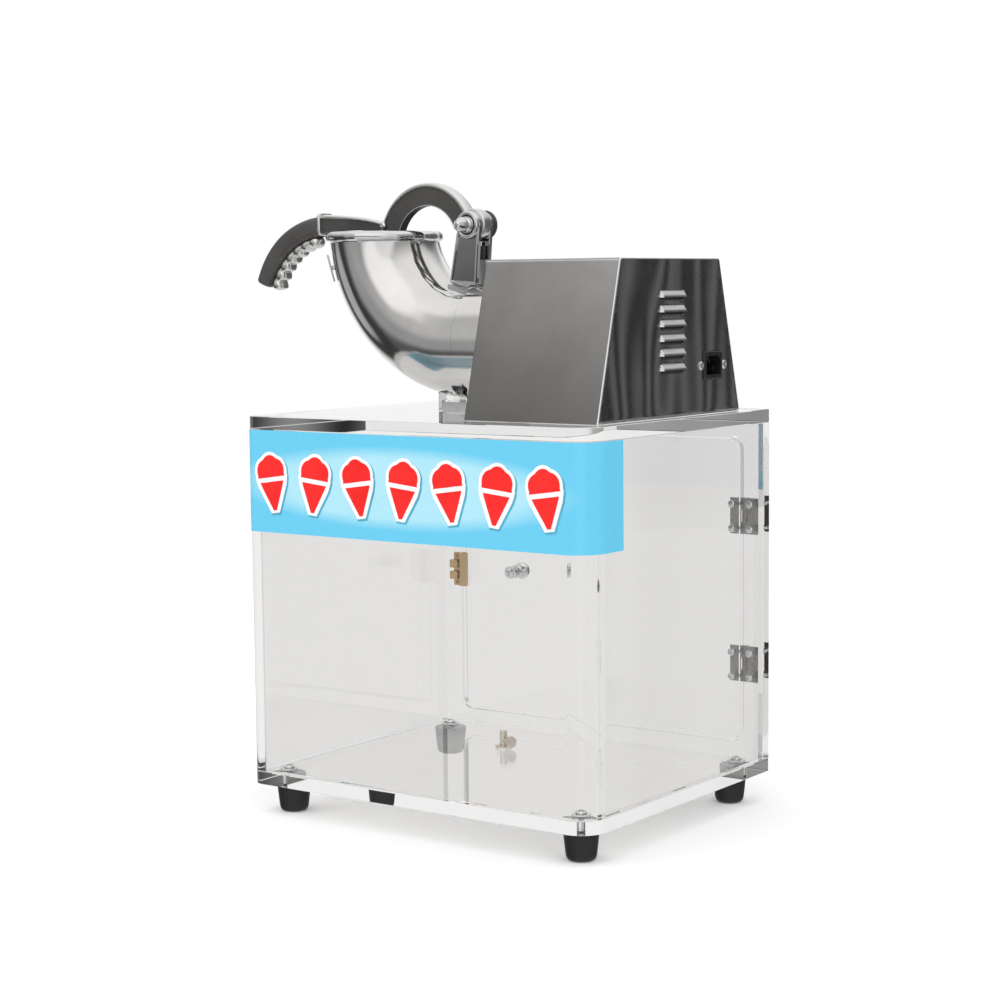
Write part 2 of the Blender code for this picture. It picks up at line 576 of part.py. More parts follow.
# ---------------------------------------------------------------- motor and blades
def make_motor():
    adapter = [(26, 23.4), (26, 0), (20, 0), (20, 23.4), (26, 23.4)]
    turned("motor_adapter", adapter, (CHAMBER_BACK + GAP, 0, SHAFT_Z), (1, 0, 0), CAST)
    start, end, out = 48.0, 138.0, 50.0
    casing = rod("motor_casing", (start, 0, SHAFT_Z), (1, 0, 0), end - start, out, DARK, sides=40)
    room = rod("stator_room", (start + 8, 0, SHAFT_Z), (1, 0, 0), end - start - 16, out - 12, sides=40)
    boolean(casing, room)
    boolean(casing, rod("casing_bore", (start - 5, 0, SHAFT_Z), (1, 0, 0), 120, SHAFT_R + 1, sides=24))
    boolean(casing, rod("rear_seat", (end - 7.3, 0, SHAFT_Z), (1, 0, 0), 20, 14 + GAP, sides=32))
    ring = [(14, 3.5), (14, -3.5), (SHAFT_R + GAP, -3.5), (SHAFT_R + GAP, 3.5), (14, 3.5)]
    turned("rear_bearing", ring, (end - 3.5, 0, SHAFT_Z), (1, 0, 0), CHROME)
    cradle = box("motor_cradle", (62, -42, HOUSE_LOW), (124, 42, SHAFT_Z - 25), CAST)
    boolean(cradle, rod("cradle_bed", (40, 0, SHAFT_Z), (1, 0, 0), 110, out + GAP, sides=40))


def make_rotor():
    """Everything that turns: shaft, armature, fan, blade disc and two blades."""
    axis = (0, 0, SHAFT_Z)
    start = ELBOW_END + 3.0
    rod("drive_shaft", (start, 0, SHAFT_Z), (1, 0, 0), 153 - start, SHAFT_R, STEEL, origin=axis)
    armature = [(36, 30), (36, -30), (SHAFT_R + GAP, -30), (SHAFT_R + GAP, 30), (36, 30)]
    turned("armature", armature, (93, 0, SHAFT_Z), (1, 0, 0), CAST)
    hub = [(13, 5), (13, -5), (SHAFT_R + GAP, -5), (SHAFT_R + GAP, 5), (13, 5)]
    fan = turned("fan", hub, (147, 0, SHAFT_Z), (1, 0, 0), DARK)
    for vane in range(6):
        angle = 2 * math.pi * vane / 6
        out = Vector((0, math.cos(angle), math.sin(angle)))
        foot = Vector((147, 0, SHAFT_Z)) + 11 * out
        blade = rod(f"fan_vane_{vane}", foot, out, 29, 4.0, end_radius=6.0, sides=4)
        fuse(fan, blade)
    disc_x = start + 2.0
    disc = rod("blade_disc", (disc_x, 0, SHAFT_Z), (1, 0, 0), 6, 48, STEEL, sides=40, origin=axis)
    bore = rod("disc_bore", (disc_x - 5, 0, SHAFT_Z), (1, 0, 0), 20, SHAFT_R + GAP, sides=32, origin=axis)
    boolean(disc, bore)
    for number, side in ((1, 1), (2, -1)):
        low, high = sorted((side * 12, side * 45))
        slot = (disc_x - 5, low - 1, SHAFT_Z - 4.5), (disc_x + 15, high + 1, SHAFT_Z + 4.5)
        boolean(disc, box(f"blade_slot_{number}", *slot, origin=axis))
        near, far = (disc_x - 1.4, low, SHAFT_Z - 4), (disc_x + 4, high, SHAFT_Z + 4)
        knife = box(f"blade_{number}", near, far, CHROME, origin=axis)
        edge = [vert for vert in knife.data.vertices if vert.co.x < disc_x * MM and vert.co.z * side < 0]
        for vert in edge:
            vert.co.x += 2.6 * MM


# ---------------------------------------------------------------- pivot bracket and handle
def make_bracket():
    """A clevis with two ears on a web that is shaped to the elbow's inner bend."""
    x, _, z = PIVOT
    inner = ARM_WIDE / 2 + GAP
    ear = arc((x, z), 12.8, -15, 195, 14) + [(-58.5, 486), (-58.5, 470), (-27.9, 470), (-27.9, 486)]
    bracket = slab("pivot_bracket", ear, "XZ", -inner - EAR, -inner, CAST)
    fuse(bracket, slab("rear_ear", ear, "XZ", inner, inner + EAR))
    web_top = 508.0
    web = [(-53.5, web_top), (-58.5, 486), (-58.5, 470), (-27.9, 470), (-28.5, web_top)]
    fuse(bracket, slab("bracket_web", web, "XZ", -inner - 1, inner + 1))
    fuse(bracket, box("bracket_saddle", (-61, -16, 470), (-27.9, 16, 489)))
    boolean(bracket, ELBOW)
    room = (ELBOW_END - 4 - GAP, 0, SHAFT_Z), (1, 0, 0), 20
    boolean(bracket, rod("flange_room", *room, TUBE_R + 2.4 + GAP, sides=40))
    boolean(bracket, rod("bolt_hole", (x, -30, z), (0, 1, 0), 60, 5.0 + GAP, sides=24))
    face = inner + EAR
    bolt = rod("pivot_bolt", (x, -face - 7, z), (0, 1, 0), 2 * face + 12, 5.0, CHROME, sides=24)
    fuse(bolt, rod("bolt_head", (x, face + GAP, z), (0, 1, 0), 6, 9.0, sides=6))
    nut = [(0, 17.2), (2.6, 16.8), (5.0, 15.2), (6.6, 12.6), (6.8, 9.8), (6.4, 6.6)]
    nut += [(7.6, 6.2), (7.6, 0), (5.2, 0), (5.2, 8), (0, 8)]
    turned("dome_nut", nut, (x, -face - GAP, z), (0, -1, 0), CHROME, steps=18)
    base = web_top + GAP
    switch = box("safety_switch", (-43, -5.6, base), (-28.8, 5.6, base + 12.5), BLACK, 0.6)
    boolean(switch, rod("plunger_hole", (x, 0, base + 4), (0, 0, 1), 20, 1.9, sides=16))
    plunger_top = z - BOSS_R - GAP
    rod("safety_plunger", (x, 0, base + 7.5), (0, 0, 1), plunger_top - base - 7.5, 1.6, RED, sides=16)


def arm_outline():
    """Boss, arch and neck as one closed outline in the XZ plane."""
    x, _, z = PIVOT
    neck_top = [(-150, 547.0), (-172, 550.0), (-194, 552.6), (NECK_END, 554.0)]
    neck_low = [(NECK_END, 535.2), (-199, 536.8), (-176, 537.0), (-156, 535.6), (-146, 533.0)]
    outline = arc((x, z), BOSS_R, 195, 412, 14)
    outline += arc(ARCH, ARCH_OUT, 44, 158, 16)
    outline += neck_top + neck_low
    outline += [(-144.0, 527.5), (-122.4, 527.5)]
    outline += arc(ARCH, ARCH_IN, 170, 24, 16)
    return outline


def make_handle():
    lift = bpy.data.objects.new("handle_axis", None)
    lift.parent = ROOT
    lift.location = Vector(PIVOT) * MM
    PARTS.objects.link(lift)
    half = ARM_WIDE / 2
    arm = slab("arm", arm_outline(), "XZ", -half, half, CAST)
    boolean(arm, rod("arm_bore", (PIVOT[0], -20, PIVOT[2]), (0, 1, 0), 40, 5.0 + GAP, sides=24))
    collar = box("collar_band", (NECK_END - 6.3, -12.5, 533.4), (NECK_END - GAP, 12.5, 556.0), CHROME, 2.0)
    grip = slab("grip", grip_outline(), "XZ", -GRIP_WIDE / 2, GRIP_WIDE / 2, DARK, 3.5)
    strip = slab("finger_strip", strip_outline(), "XZ", -8.5, 8.5, CAST)
    screw = [(0, 1.8), (2.0, 1.6), (3.4, 0.8), (3.4, 0.3), (0, 0.3)]
    stud = turned("arm_screw", screw, (-140.5, -half, 541.6), (0, -1, 0), CHROME, steps=14)
    pieces = [arm, collar, grip, strip, stud, *make_pusher()]
    for piece in pieces:
        hang(piece, lift, PIVOT)


def grip_outline():
    outer = arc(GRIP_CENTRE, GRIP_OUT, 94.1, 160, 12)
    inner = arc(GRIP_CENTRE, GRIP_IN, 163, 95.2, 12)
    tip = [(-297.5, 483.5), (-291.5, 479.6)]
    return (outer + tip + inner)[::-1]


def strip_outline():
    """A strip along the inside of the grip with five finger lobes."""
    lobes, steps = 5, 25
    inner = []
    for step in range(steps + 1):
        share = step / steps
        radius = 66.0 - 3.5 * share - 2.6 * abs(math.sin(math.pi * lobes * share))
        inner.append(polar(GRIP_CENTRE, radius, 96.5 + 64.0 * share))
    outer = arc(GRIP_CENTRE, GRIP_IN - GAP, 160.5, 96.5, 14)
    return (inner + outer)[::-1]


def make_pusher():
    """The curved bar and plate that press the ice round the elbow on to the blades."""
    centre = (PIVOT[0], PIVOT[2])
    start = 180 + math.degrees(math.asin(13.0 / PUSH_R))
    end = PUSH_ANGLE - 2.6
    outline = arc(centre, PUSH_R + 6, start, end, 14) + arc(centre, PUSH_R - 6, end, start + 0.4, 14)
    bar = slab("pusher_arm", outline, "XZ", -5, 5, STEEL, 1.0)
    tangent = math.radians(PUSH_ANGLE)
    hub = Vector((PIVOT[0] + BEND_R * math.cos(tangent), 0, PIVOT[2] + BEND_R * math.sin(tangent)))
    along = Vector((-math.sin(tangent), 0, math.cos(tangent)))
    plate_thick = 7.0
    disc = rod("pusher_plate", hub - along * plate_thick / 2, along, plate_thick, PUSH_PLATE_R, CAST, sides=36)
    return bar, disc


make_cabinet()
make_door()
make_housing()
ELBOW = ring("elbow_space", PIVOT, BEND_R, TUBE_R + 0.5, 72, 32)  # for what fits against the elbow
ELBOW.rotation_euler = (math.radians(90), 0, 0)
make_hopper()
make_chamber()
make_motor()
make_rotor()
make_bracket()
make_handle()
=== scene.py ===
import json
import math

import bmesh
import bpy
import numpy as np
from bpy.props import FloatProperty, FloatVectorProperty, IntProperty, PointerProperty
from mathutils import Matrix, Vector


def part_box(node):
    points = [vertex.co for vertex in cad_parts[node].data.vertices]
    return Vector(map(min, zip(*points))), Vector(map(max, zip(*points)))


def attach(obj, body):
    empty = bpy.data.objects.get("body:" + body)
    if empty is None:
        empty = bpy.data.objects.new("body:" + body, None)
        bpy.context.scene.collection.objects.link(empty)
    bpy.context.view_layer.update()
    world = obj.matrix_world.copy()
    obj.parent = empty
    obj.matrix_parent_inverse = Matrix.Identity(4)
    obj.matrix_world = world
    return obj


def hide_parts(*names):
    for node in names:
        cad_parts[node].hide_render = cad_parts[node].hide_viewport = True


bl_info = {
    "name": "Shaved Ice Machine",
    "version": (1, 0, 0),
    "blender": (4, 5, 0),
    "location": "View3D > Sidebar > Ice Shaver",
    "description": "Builds a counter-top shaved ice machine around its packed frame",
    "category": "Object",
}

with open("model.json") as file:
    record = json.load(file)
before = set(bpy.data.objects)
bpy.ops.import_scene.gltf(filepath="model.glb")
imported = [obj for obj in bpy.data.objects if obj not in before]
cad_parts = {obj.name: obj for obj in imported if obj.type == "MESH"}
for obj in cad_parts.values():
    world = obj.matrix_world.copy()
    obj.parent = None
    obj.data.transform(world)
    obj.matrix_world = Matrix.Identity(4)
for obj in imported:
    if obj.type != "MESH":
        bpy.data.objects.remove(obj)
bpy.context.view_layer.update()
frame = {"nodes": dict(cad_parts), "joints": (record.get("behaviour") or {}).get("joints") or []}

# ---------------------------------------------------------------- places taken from the frame, in millimetres
MM = 0.001
CENTRE = np.append(np.mean(np.array(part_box("top_plate")), 0)[:2] / MM, 0.0)  # the cabinet's middle, on the ground


def span(node):
    """A node's lowest and highest corners in millimetres from the cabinet's middle."""
    return np.array(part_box(node)) / MM - CENTRE


def axis_of(name):
    """The point that a joint turns about, in millimetres from the cabinet's middle."""
    return next(np.array(joint["pos_m"]) for joint in frame["joints"] if joint["name"] == name) / MM - CENTRE


(_, _, UNDER_TOP), (HALF_W, HALF_D, TOP) = span("top_plate")
(_, _, FOOT_HEIGHT), (_, _, FLOOR) = span("bottom_plate")
SHEET = TOP - UNDER_TOP
PIVOT, SHAFT, HINGE = axis_of("handle_lift"), axis_of("blade_spin"), axis_of("door_swing")
HOUSE_LOW, HOUSE_HIGH = span("housing_cover")
DOOR_LOW, DOOR_HIGH = span("door")
BEND, DROP = 107.3, 9.0  # radius of the elbow's middle line about the pivot, and how far below it the mouth is
MOUTH = np.array([PIVOT[0] - math.sqrt(BEND**2 - DROP**2), 0.0, PIVOT[2] - DROP])
HOUSE_RIGHT = 175.0  # the housing's right wall, without its louvres
GAP = 0.3  # clearance between neighbouring sheets


# ---------------------------------------------------------------- sizes and colours that a user would change
def length(name, default, description, high=500.0):
    return FloatProperty(name=name, description=description, default=default, min=0.0, max=high)


def colour(name, default, description):
    return FloatVectorProperty(name=name, description=description, default=default, subtype="COLOR", min=0, max=1)


class CabinetSizes(bpy.types.PropertyGroup):
    bend_left: length("Left bend", 10.0, "Outer radius of the front left bend, mm")
    bend_right: length("Right bend", 26.0, "Outer radius of the front right bend, mm")
    chamfer: length("Edge chamfer", 0.5, "Width of the polished chamfer on the sheets' edges, mm", 2.0)
    banner_return: length("Banner return", 26.0, "How far the banner runs back past each bend, mm")
    icons: IntProperty(name="Cups", description="Number of cups on the banner", default=7, min=0, max=12)
    tint: colour("Sheet tint", (0.945, 0.94, 0.935), "What the clear sheet lets through")
    film: colour("Banner blue", (0.13, 0.60, 0.86), "Ground colour of the banner")
    glow: colour("Banner glow", (0.45, 0.80, 0.92), "Pale middle of the banner")
    red: colour("Cup red", (0.88, 0.004, 0.002), "Colour of the cups on the banner")


class HopperSizes(bpy.types.PropertyGroup):
    tube_radius: length("Tube radius", 52.0, "Outer radius of the elbow's tube, mm")
    wall: length("Wall", 2.0, "Thickness of the elbow's wall, mm", 5.0)
    bead: length("Rim bead", 5.0, "Radius of the rolled rim, mm", 8.0)
    crease_depth: length("Crease depth", 0.9, "How far the strip inside the bend is set in, mm", 3.0)


class HousingSizes(bpy.types.PropertyGroup):
    louvres: IntProperty(name="Louvres", description="Number of pressed louvres", default=6, min=0, max=8)
    pitch: length("Louvre pitch", 12.7, "Distance from one louvre to the next, mm")
    lowest: length("Lowest louvre", 412.0, "Height of the lowest louvre, mm", 600.0)
    long: length("Louvre length", 43.0, "Length of a louvre, mm")
    proud: length("Louvre lift", 3.8, "How far a louvre's lip stands out, mm", 6.0)


class HandleSizes(bpy.types.PropertyGroup):
    rim: length("Rim width", 5.0, "Width of the bright band along the top of the arm, mm", 10.0)
    lobes: IntProperty(name="Finger lobes", description="Number of finger lobes", default=7, min=1, max=9)
    grip_dark: colour("Grip colour", (0.050, 0.047, 0.045), "Colour of the grip and of the arm's panels")


class ShaverSettings(bpy.types.PropertyGroup):
    cabinet: PointerProperty(type=CabinetSizes)
    hopper: PointerProperty(type=HopperSizes)
    housing: PointerProperty(type=HousingSizes)
    handle: PointerProperty(type=HandleSizes)


# ---------------------------------------------------------------- arrays of points
def quads(rows, cols, around_rows=False, around_cols=False):
    """The corners of each cell of a grid of points; a way that goes around joins its last line to its first."""
    cells = rows - (not around_rows), cols - (not around_cols)
    r, c = np.indices(cells)
    next_r, next_c = (r + 1) % rows, (c + 1) % cols
    corners = np.stack([r * cols + c, r * cols + next_c, next_r * cols + next_c, next_r * cols + c], -1)
    return corners.reshape(-1, 4).tolist()


def rings(stations, closed=False):
    """Rings of points one after another, each joined to the next, with a flat face on the first and the last."""
    stations = np.asarray(stations, float)
    rows, cols = stations.shape[:2]
    faces = quads(rows, cols, around_rows=closed, around_cols=True)
    if not closed:
        faces += [list(range(cols)), list(range((rows - 1) * cols, rows * cols))]
    return stations.reshape(-1, 3), faces


def together(*shapes):
    """Several shapes as one list of points and one of faces."""
    points, faces, count = [], [], 0
    for own_points, own_faces in shapes:
        points.append(own_points)
        faces += [[corner + count for corner in face] for face in own_faces]
        count += len(own_points)
    return np.concatenate(points), faces


def sweep(start, end, steps):
    """Angles in degrees as radians, evenly spaced, both ends included."""
    return np.radians(np.linspace(start, end, steps + 1))


def arc(centre, radius, start, end, steps):
    """Points of an arc: centre + radius (cos a, sin a)."""
    return np.array(centre) + radius * directions(sweep(start, end, steps))


def rounded(low, high, radii, steps=8, side=1):
    """A rectangle's outline, anticlockwise from its low corner: a radius for each corner, side steps on each straight."""
    (x0, y0), (x1, y1) = low, high
    corners = ((x0, y0, 1, 1, 180), (x1, y0, -1, 1, 270), (x1, y1, -1, -1, 0), (x0, y1, 1, -1, 90))
    turns = [
        arc((x + dx * r, y + dy * r), r, start, start + 90, steps) for (x, y, dx, dy, start), r in zip(corners, radii)
    ]
    outline = []
    for turn, following in zip(turns, turns[1:] + turns[:1]):
        outline += [turn, np.linspace(turn[-1], following[0], side + 1)[1:-1]]
    return np.concatenate(outline)


def border(grid):
    """The outer points of a grid in order."""
    return np.concatenate([grid[0, :-1], grid[:-1, -1], grid[-1, :0:-1], grid[:0:-1, 0]])


def oval(half_a, half_b, power, count=32):
    """A rounded box section: |a/half_a|^power + |b/half_b|^power = 1."""
    way = directions(np.linspace(0, 2 * math.pi, count, endpoint=False))
    return (half_a, half_b) * np.sign(way) * np.abs(way) ** (2 / power)


def carried(path, across, up, section):
    """A section (one, or one for each station) carried along a path: point = path + a across + b up."""
    section = np.broadcast_to(section, (len(path), *np.shape(section)[-2:]))
    across, up = (np.broadcast_to(way, path.shape)[:, None] for way in (across, up))
    return path[:, None] + section[..., :1] * across + section[..., 1:] * up


def upright(flat, y=0.0):
    """Points (x, z) as (x, y, z)."""
    return np.insert(flat, 1, y, axis=1)


def directions(angles):
    """(cos a, sin a) for each angle."""
    return np.stack([np.cos(angles), np.sin(angles)], -1)


def about_pivot(x, y, z, turn):
    """Points given from the pivot, turned about its bolt: (x cos t - z sin t, y, x sin t + z cos t)."""
    cos, sin = np.cos(turn), np.sin(turn)
    return np.stack([PIVOT[0] + x * cos - z * sin, y + 0 * x, PIVOT[2] + x * sin + z * cos], -1)


def inset(outline, distance):
    """A closed outline moved inwards: each point along the mean of its edges' normals, as far as a mitre needs."""
    outline = np.asarray(outline, float)
    edge = np.roll(outline, -1, 0) - outline
    edge /= np.linalg.norm(edge, axis=1, keepdims=True)
    normal = np.stack([-edge[:, 1], edge[:, 0]], -1)
    if np.sum(outline[:, 0] * np.roll(outline[:, 1], -1) - np.roll(outline[:, 0], -1) * outline[:, 1]) < 0:
        normal = -normal
    before = np.roll(normal, 1, 0)
    mean = normal + before
    reach = 2 / np.maximum(np.sum(mean * mean, 1, keepdims=True), 1.0)
    return outline + mean * reach * np.reshape(distance, (-1, 1))


LIE = {"XY": [0, 1, 2], "XZ": [0, 2, 1], "YZ": [2, 0, 1]}


def stacked(outline, layers, plane="XY"):
    """Outline at each layer (height, inset) as a ring; the plane says which axes the outline lies along."""
    order = LIE[plane]
    stations = []
    for height, distance in layers:
        flat = inset(outline, distance)
        stations.append(np.column_stack([flat, np.full(len(flat), height)])[:, order])
    return rings(stations)


def plate(outline, low, high, chamfer, plane="XY"):
    """A flat sheet with a small chamfer on each long edge."""
    return stacked(outline, [(low, chamfer), (low + chamfer, 0), (high - chamfer, 0), (high, chamfer)], plane)


def softened(profile, distance=0.5, times=2):
    """An open profile with each corner cut back by a distance on both sides, and again for a rounder one."""
    profile = np.array(profile, float)
    for turn in range(times):
        before, corner, after = profile[:-2], profile[1:-1], profile[2:]
        first, second = before - corner, after - corner
        room, room_after = (np.linalg.norm(edge, axis=1, keepdims=True) for edge in (first, second))
        cut = distance / 2**turn
        first = corner + first * np.minimum(cut / np.maximum(room, 1e-9), 0.4)
        second = corner + second * np.minimum(cut / np.maximum(room_after, 1e-9), 0.4)
        profile = np.concatenate([profile[:1], np.stack([first, second], 1).reshape(-1, 2), profile[-1:]])
    return profile


def laid(points, origin, axis):
    """Points made about the Z axis, laid along another axis through origin."""
    matrix = np.array(Vector((0, 0, 1)).rotation_difference(Vector(axis)).to_matrix())
    return points @ matrix.T + np.array(origin)


def turned(profile, origin, axis, sides=48, soft=0.4):
    """Profile (radius, height) turned about an axis: (r cos a, r sin a, h)."""
    profile = softened(profile, soft) if soft else np.array(profile, float)
    around = np.insert(directions(np.linspace(0, 2 * math.pi, sides, endpoint=False)), 2, 0.0, axis=1)
    points = profile[:, :1, None] * around + profile[:, 1:, None] * np.array([0, 0, 1.0])
    faces = quads(len(profile), sides, around_cols=True)
    return laid(points.reshape(-1, 3), origin, axis), faces


def hexagon(radius, low, high, origin, axis):
    """A hexagonal prism with chamfered corners on its far end."""
    outline = radius * directions(np.radians(np.arange(6) * 60.0))
    points, faces = stacked(outline, [(low, 0), (high - 0.8, 0), (high, 0.6)])
    return laid(points, origin, axis), faces


def cap_screw(origin, axis, radius=3.6, height=3.4):
    """A washer and a domed cap nut."""
    thick = 0.7
    washer = turned([(0, 0), (radius * 1.25, 0), (radius * 1.25, thick), (0, thick)], origin, axis, 24, 0.15)
    base = thick + height * 0.45
    dome = (0, base) + directions(np.radians([0, 20, 40, 60, 75])) * (radius * 0.78, height * 0.55)
    dome = turned([(0, base), *dome, (0, base + height * 0.56)], origin, axis, 24, 0)
    return together(washer, hexagon(radius, thick, base, origin, axis), dome)


def pan_screw(origin, axis, radius, height):
    """A pan head with a crossed recess: four arms cut down into the dome, as a height over the disc."""
    radial = np.concatenate([np.linspace(0, 0.98, 18), [1.0, 1.0]])
    angle = np.linspace(0, 2 * math.pi, 48, endpoint=False)
    r, a = np.meshgrid(radial, angle, indexing="ij")
    lift = height * np.sqrt(np.clip(1 - r**2 * 0.85, 0, 1))
    arms = np.minimum(np.abs(r * np.cos(a)), np.abs(r * np.sin(a))) < 0.13
    lift = np.where(arms & (r < 0.62), lift - height * 0.5, lift)
    lift[-1] = 0.0
    points = np.stack([radius * r * np.cos(a), radius * r * np.sin(a), lift], -1)
    faces = quads(len(radial), len(angle), around_cols=True)
    faces.append(list(range(points.shape[1] * (len(radial) - 1), r.size)))
    return laid(points.reshape(-1, 3), origin, axis), faces


# ---------------------------------------------------------------- pieces
FINISHES = {}


def put(name, shape, finishes, body="machine", stands_for=(), sharp=32.0, choose=None):
    """Makes a piece from points and faces: doubles merged, faces outwards, smooth up to the sharp angle.

    With several finishes, choose(middles) gives each face's number, from the faces' middles in millimetres."""
    points, faces = shape
    mesh = bpy.data.meshes.new(name)
    mesh.from_pydata((points + CENTRE) * MM, [], faces)
    bm = bmesh.new()
    bm.from_mesh(mesh)
    bmesh.ops.remove_doubles(bm, verts=bm.verts, dist=2e-6)
    bmesh.ops.dissolve_degenerate(bm, dist=1e-7, edges=bm.edges)
    bmesh.ops.recalc_face_normals(bm, faces=bm.faces)
    bm.to_mesh(mesh)
    bm.free()
    return finished(name, mesh, finishes, body, stands_for, sharp, choose)


def finished(name, mesh, finishes, body, stands_for, sharp=32.0, choose=None):
    """Shades a mesh, gives it its materials and makes it a piece that rides on a body."""
    mesh.shade_smooth()
    mesh.set_sharp_from_angle(angle=math.radians(sharp))
    obj = bpy.data.objects.new(name, mesh)
    bpy.context.scene.collection.objects.link(obj)
    for finish in [finishes] if isinstance(finishes, str) else finishes:
        mesh.materials.append(FINISHES[finish])
    if choose:
        middles = np.empty(len(mesh.polygons) * 3)
        mesh.polygons.foreach_get("center", middles)
        picked = choose(middles.reshape(-1, 3) / MM - CENTRE)
        mesh.polygons.foreach_set("material_index", picked.astype(np.int32))
    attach(obj, body)
    if stands_for:
        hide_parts(*stands_for)
    return obj


def refined(node, finish, body, bevel=0.5, segments=2, name=None, sharp=32.0, reshape=None):
    """A copy of a frame node with its doubles merged, flat parts joined and its edges rounded. reshape(points)
    moves its points, in millimetres from the cabinet's middle."""
    mesh = frame["nodes"][node].data.copy()
    mesh.materials.clear()
    if reshape:
        points = np.empty(len(mesh.vertices) * 3, np.float32)
        mesh.vertices.foreach_get("co", points)
        moved = (reshape(points.reshape(-1, 3) / MM - CENTRE) + CENTRE) * MM
        mesh.vertices.foreach_set("co", moved.astype(np.float32).ravel())
    bm = bmesh.new()
    bm.from_mesh(mesh)
    bmesh.ops.remove_doubles(bm, verts=bm.verts, dist=5e-6)
    bmesh.ops.dissolve_limit(bm, angle_limit=math.radians(1.0), verts=bm.verts, edges=bm.edges)
    bm.to_mesh(mesh)
    bm.free()
    obj = finished(name or f"{node}_finished", mesh, finish, body, (node,), sharp)
    if bevel:
        rounding = obj.modifiers.new("rounded edges", "BEVEL")
        rounding.width = bevel * MM
        rounding.segments = segments
        rounding.limit_method = "ANGLE"
        rounding.angle_limit = math.radians(45)
        rounding.harden_normals = True
    return obj


# ---------------------------------------------------------------- finishes
class Nodes:
    """A node tree whose nodes are added and joined by short calls."""

    def __init__(self, tree):
        self.tree = tree

    def node(self, kind, settings=None, **inputs):
        made = self.tree.nodes.new(kind)
        for key, value in (settings or {}).items():
            setattr(made, key, value)
        for key, value in inputs.items():
            self.feed(made, key.replace("_", " "), value)
        return made

    def feed(self, node, key, value):
        """Joins an output to an input, or sets the input; a colour needs no alpha."""
        socket = node.inputs[key]
        if isinstance(value, bpy.types.NodeSocket):
            self.tree.links.new(value, socket)
        elif socket.type == "RGBA" and len(value) == 3:
            socket.default_value = (*value, 1.0)
        else:
            socket.default_value = value

    def joined(self, node, output, *values):
        """Feeds a node's first inputs in order."""
        for index, value in enumerate(values):
            self.feed(node, index, value)
        return node.outputs[output]

    def ramp(self, value, low, high, out_low, out_high, interpolation="LINEAR"):
        """Value from low..high mapped to out_low..out_high."""
        made = self.node("ShaderNodeMapRange", {"interpolation_type": interpolation})
        return self.joined(made, 0, value, low, high, out_low, out_high)

    def math(self, operation, *values):
        return self.joined(self.node("ShaderNodeMath", {"operation": operation}), 0, *values)

    def vector(self, operation, *values, output="Vector"):
        return self.joined(self.node("ShaderNodeVectorMath", {"operation": operation}), output, *values)


class Finish(Nodes):
    """A material with one plain shader and a place in metres."""

    def __init__(self, name):
        self.material = bpy.data.materials.new(name)
        self.material.use_nodes = True
        super().__init__(self.material.node_tree)
        self.shader = self.tree.nodes["Principled BSDF"]
        self.place = self.node("ShaderNodeTexCoord").outputs["Object"]

    def set(self, **inputs):
        for key, value in inputs.items():
            self.feed(self.shader, key.replace("_", " "), value)

    def noise(self, scale, detail=3.0, roughness=0.5, stretch=(1.0, 1.0, 1.0), turn=(0.0, 0.0, 0.0)):
        """Noise over the place; stretch squeezes the pattern along an axis."""
        place = self.node("ShaderNodeMapping", Vector=self.place, Scale=stretch, Rotation=turn).outputs[0]
        made = self.node("ShaderNodeTexNoise", Vector=place, Scale=scale, Detail=detail, Roughness=roughness)
        return made.outputs["Fac"]

    def blend(self, share, first, second):
        made = self.node("ShaderNodeMix", {"data_type": "RGBA"})
        for key, value in ((0, share), (6, first), (7, second)):
            self.feed(made, key, value)
        return made.outputs[2]

    def bump(self, height, distance, strength=1.0, below=None):
        made = self.node("ShaderNodeBump", Height=height, Distance=distance, Strength=strength)
        if below is not None:
            self.feed(made, "Normal", below)
        return made.outputs[0]


FINE, FINEST = 0.00003, 0.00002  # depths of a surface's texture, in metres
EVEN = (1.0, 1.0, 1.0)


def metal(
    name, colour, low, high, grain=EVEN, grain_scale=900.0, wave=0.0, wave_scale=9.0, streak=FINE, painted_dark_below=None
):
    """Bare metal: roughness wanders between low and high, with a fine grain, and broad waves if it is thin sheet.
    Given two heights, the colour is painted darker towards the bottom, to under half between them: painted shade,
    standing in for a dark floor's reflection."""
    finish = Finish(name)
    patches = finish.noise(14.0, 4.0, 0.6)
    fine = finish.noise(grain_scale, 2.0, 0.5, grain)
    darker = tuple(0.82 * part for part in colour)
    tone = finish.blend(finish.ramp(patches, 0.3, 0.7, 0.0, 1.0), darker, colour)
    # Painted shade: below the given heights the colour is blended down to 0.40 of itself.
    if painted_dark_below:
        height = finish.node("ShaderNodeSeparateXYZ", Vector=finish.place).outputs[2]
        height = finish.math("ADD", height, finish.math("MULTIPLY", patches, 0.03))
        share = finish.ramp(height, painted_dark_below[0] * MM, painted_dark_below[1] * MM + 0.02, 1.0, 0.0)
        tone = finish.blend(share, tone, tuple(0.40 * part for part in colour))
    finish.set(
        Metallic=1.0,
        Base_Color=tone,
        Roughness=finish.ramp(finish.math("ADD", finish.math("MULTIPLY", fine, 0.5), patches), 0.4, 1.1, low, high),
    )
    normal = finish.bump(fine, streak, 0.5)
    if wave:
        broad = finish.noise(wave_scale, 1.0, 0.4, (1.0, 1.0, 0.35))
        normal = finish.bump(broad, wave, 1.0, normal)
    finish.set(Normal=normal)
    return finish.material


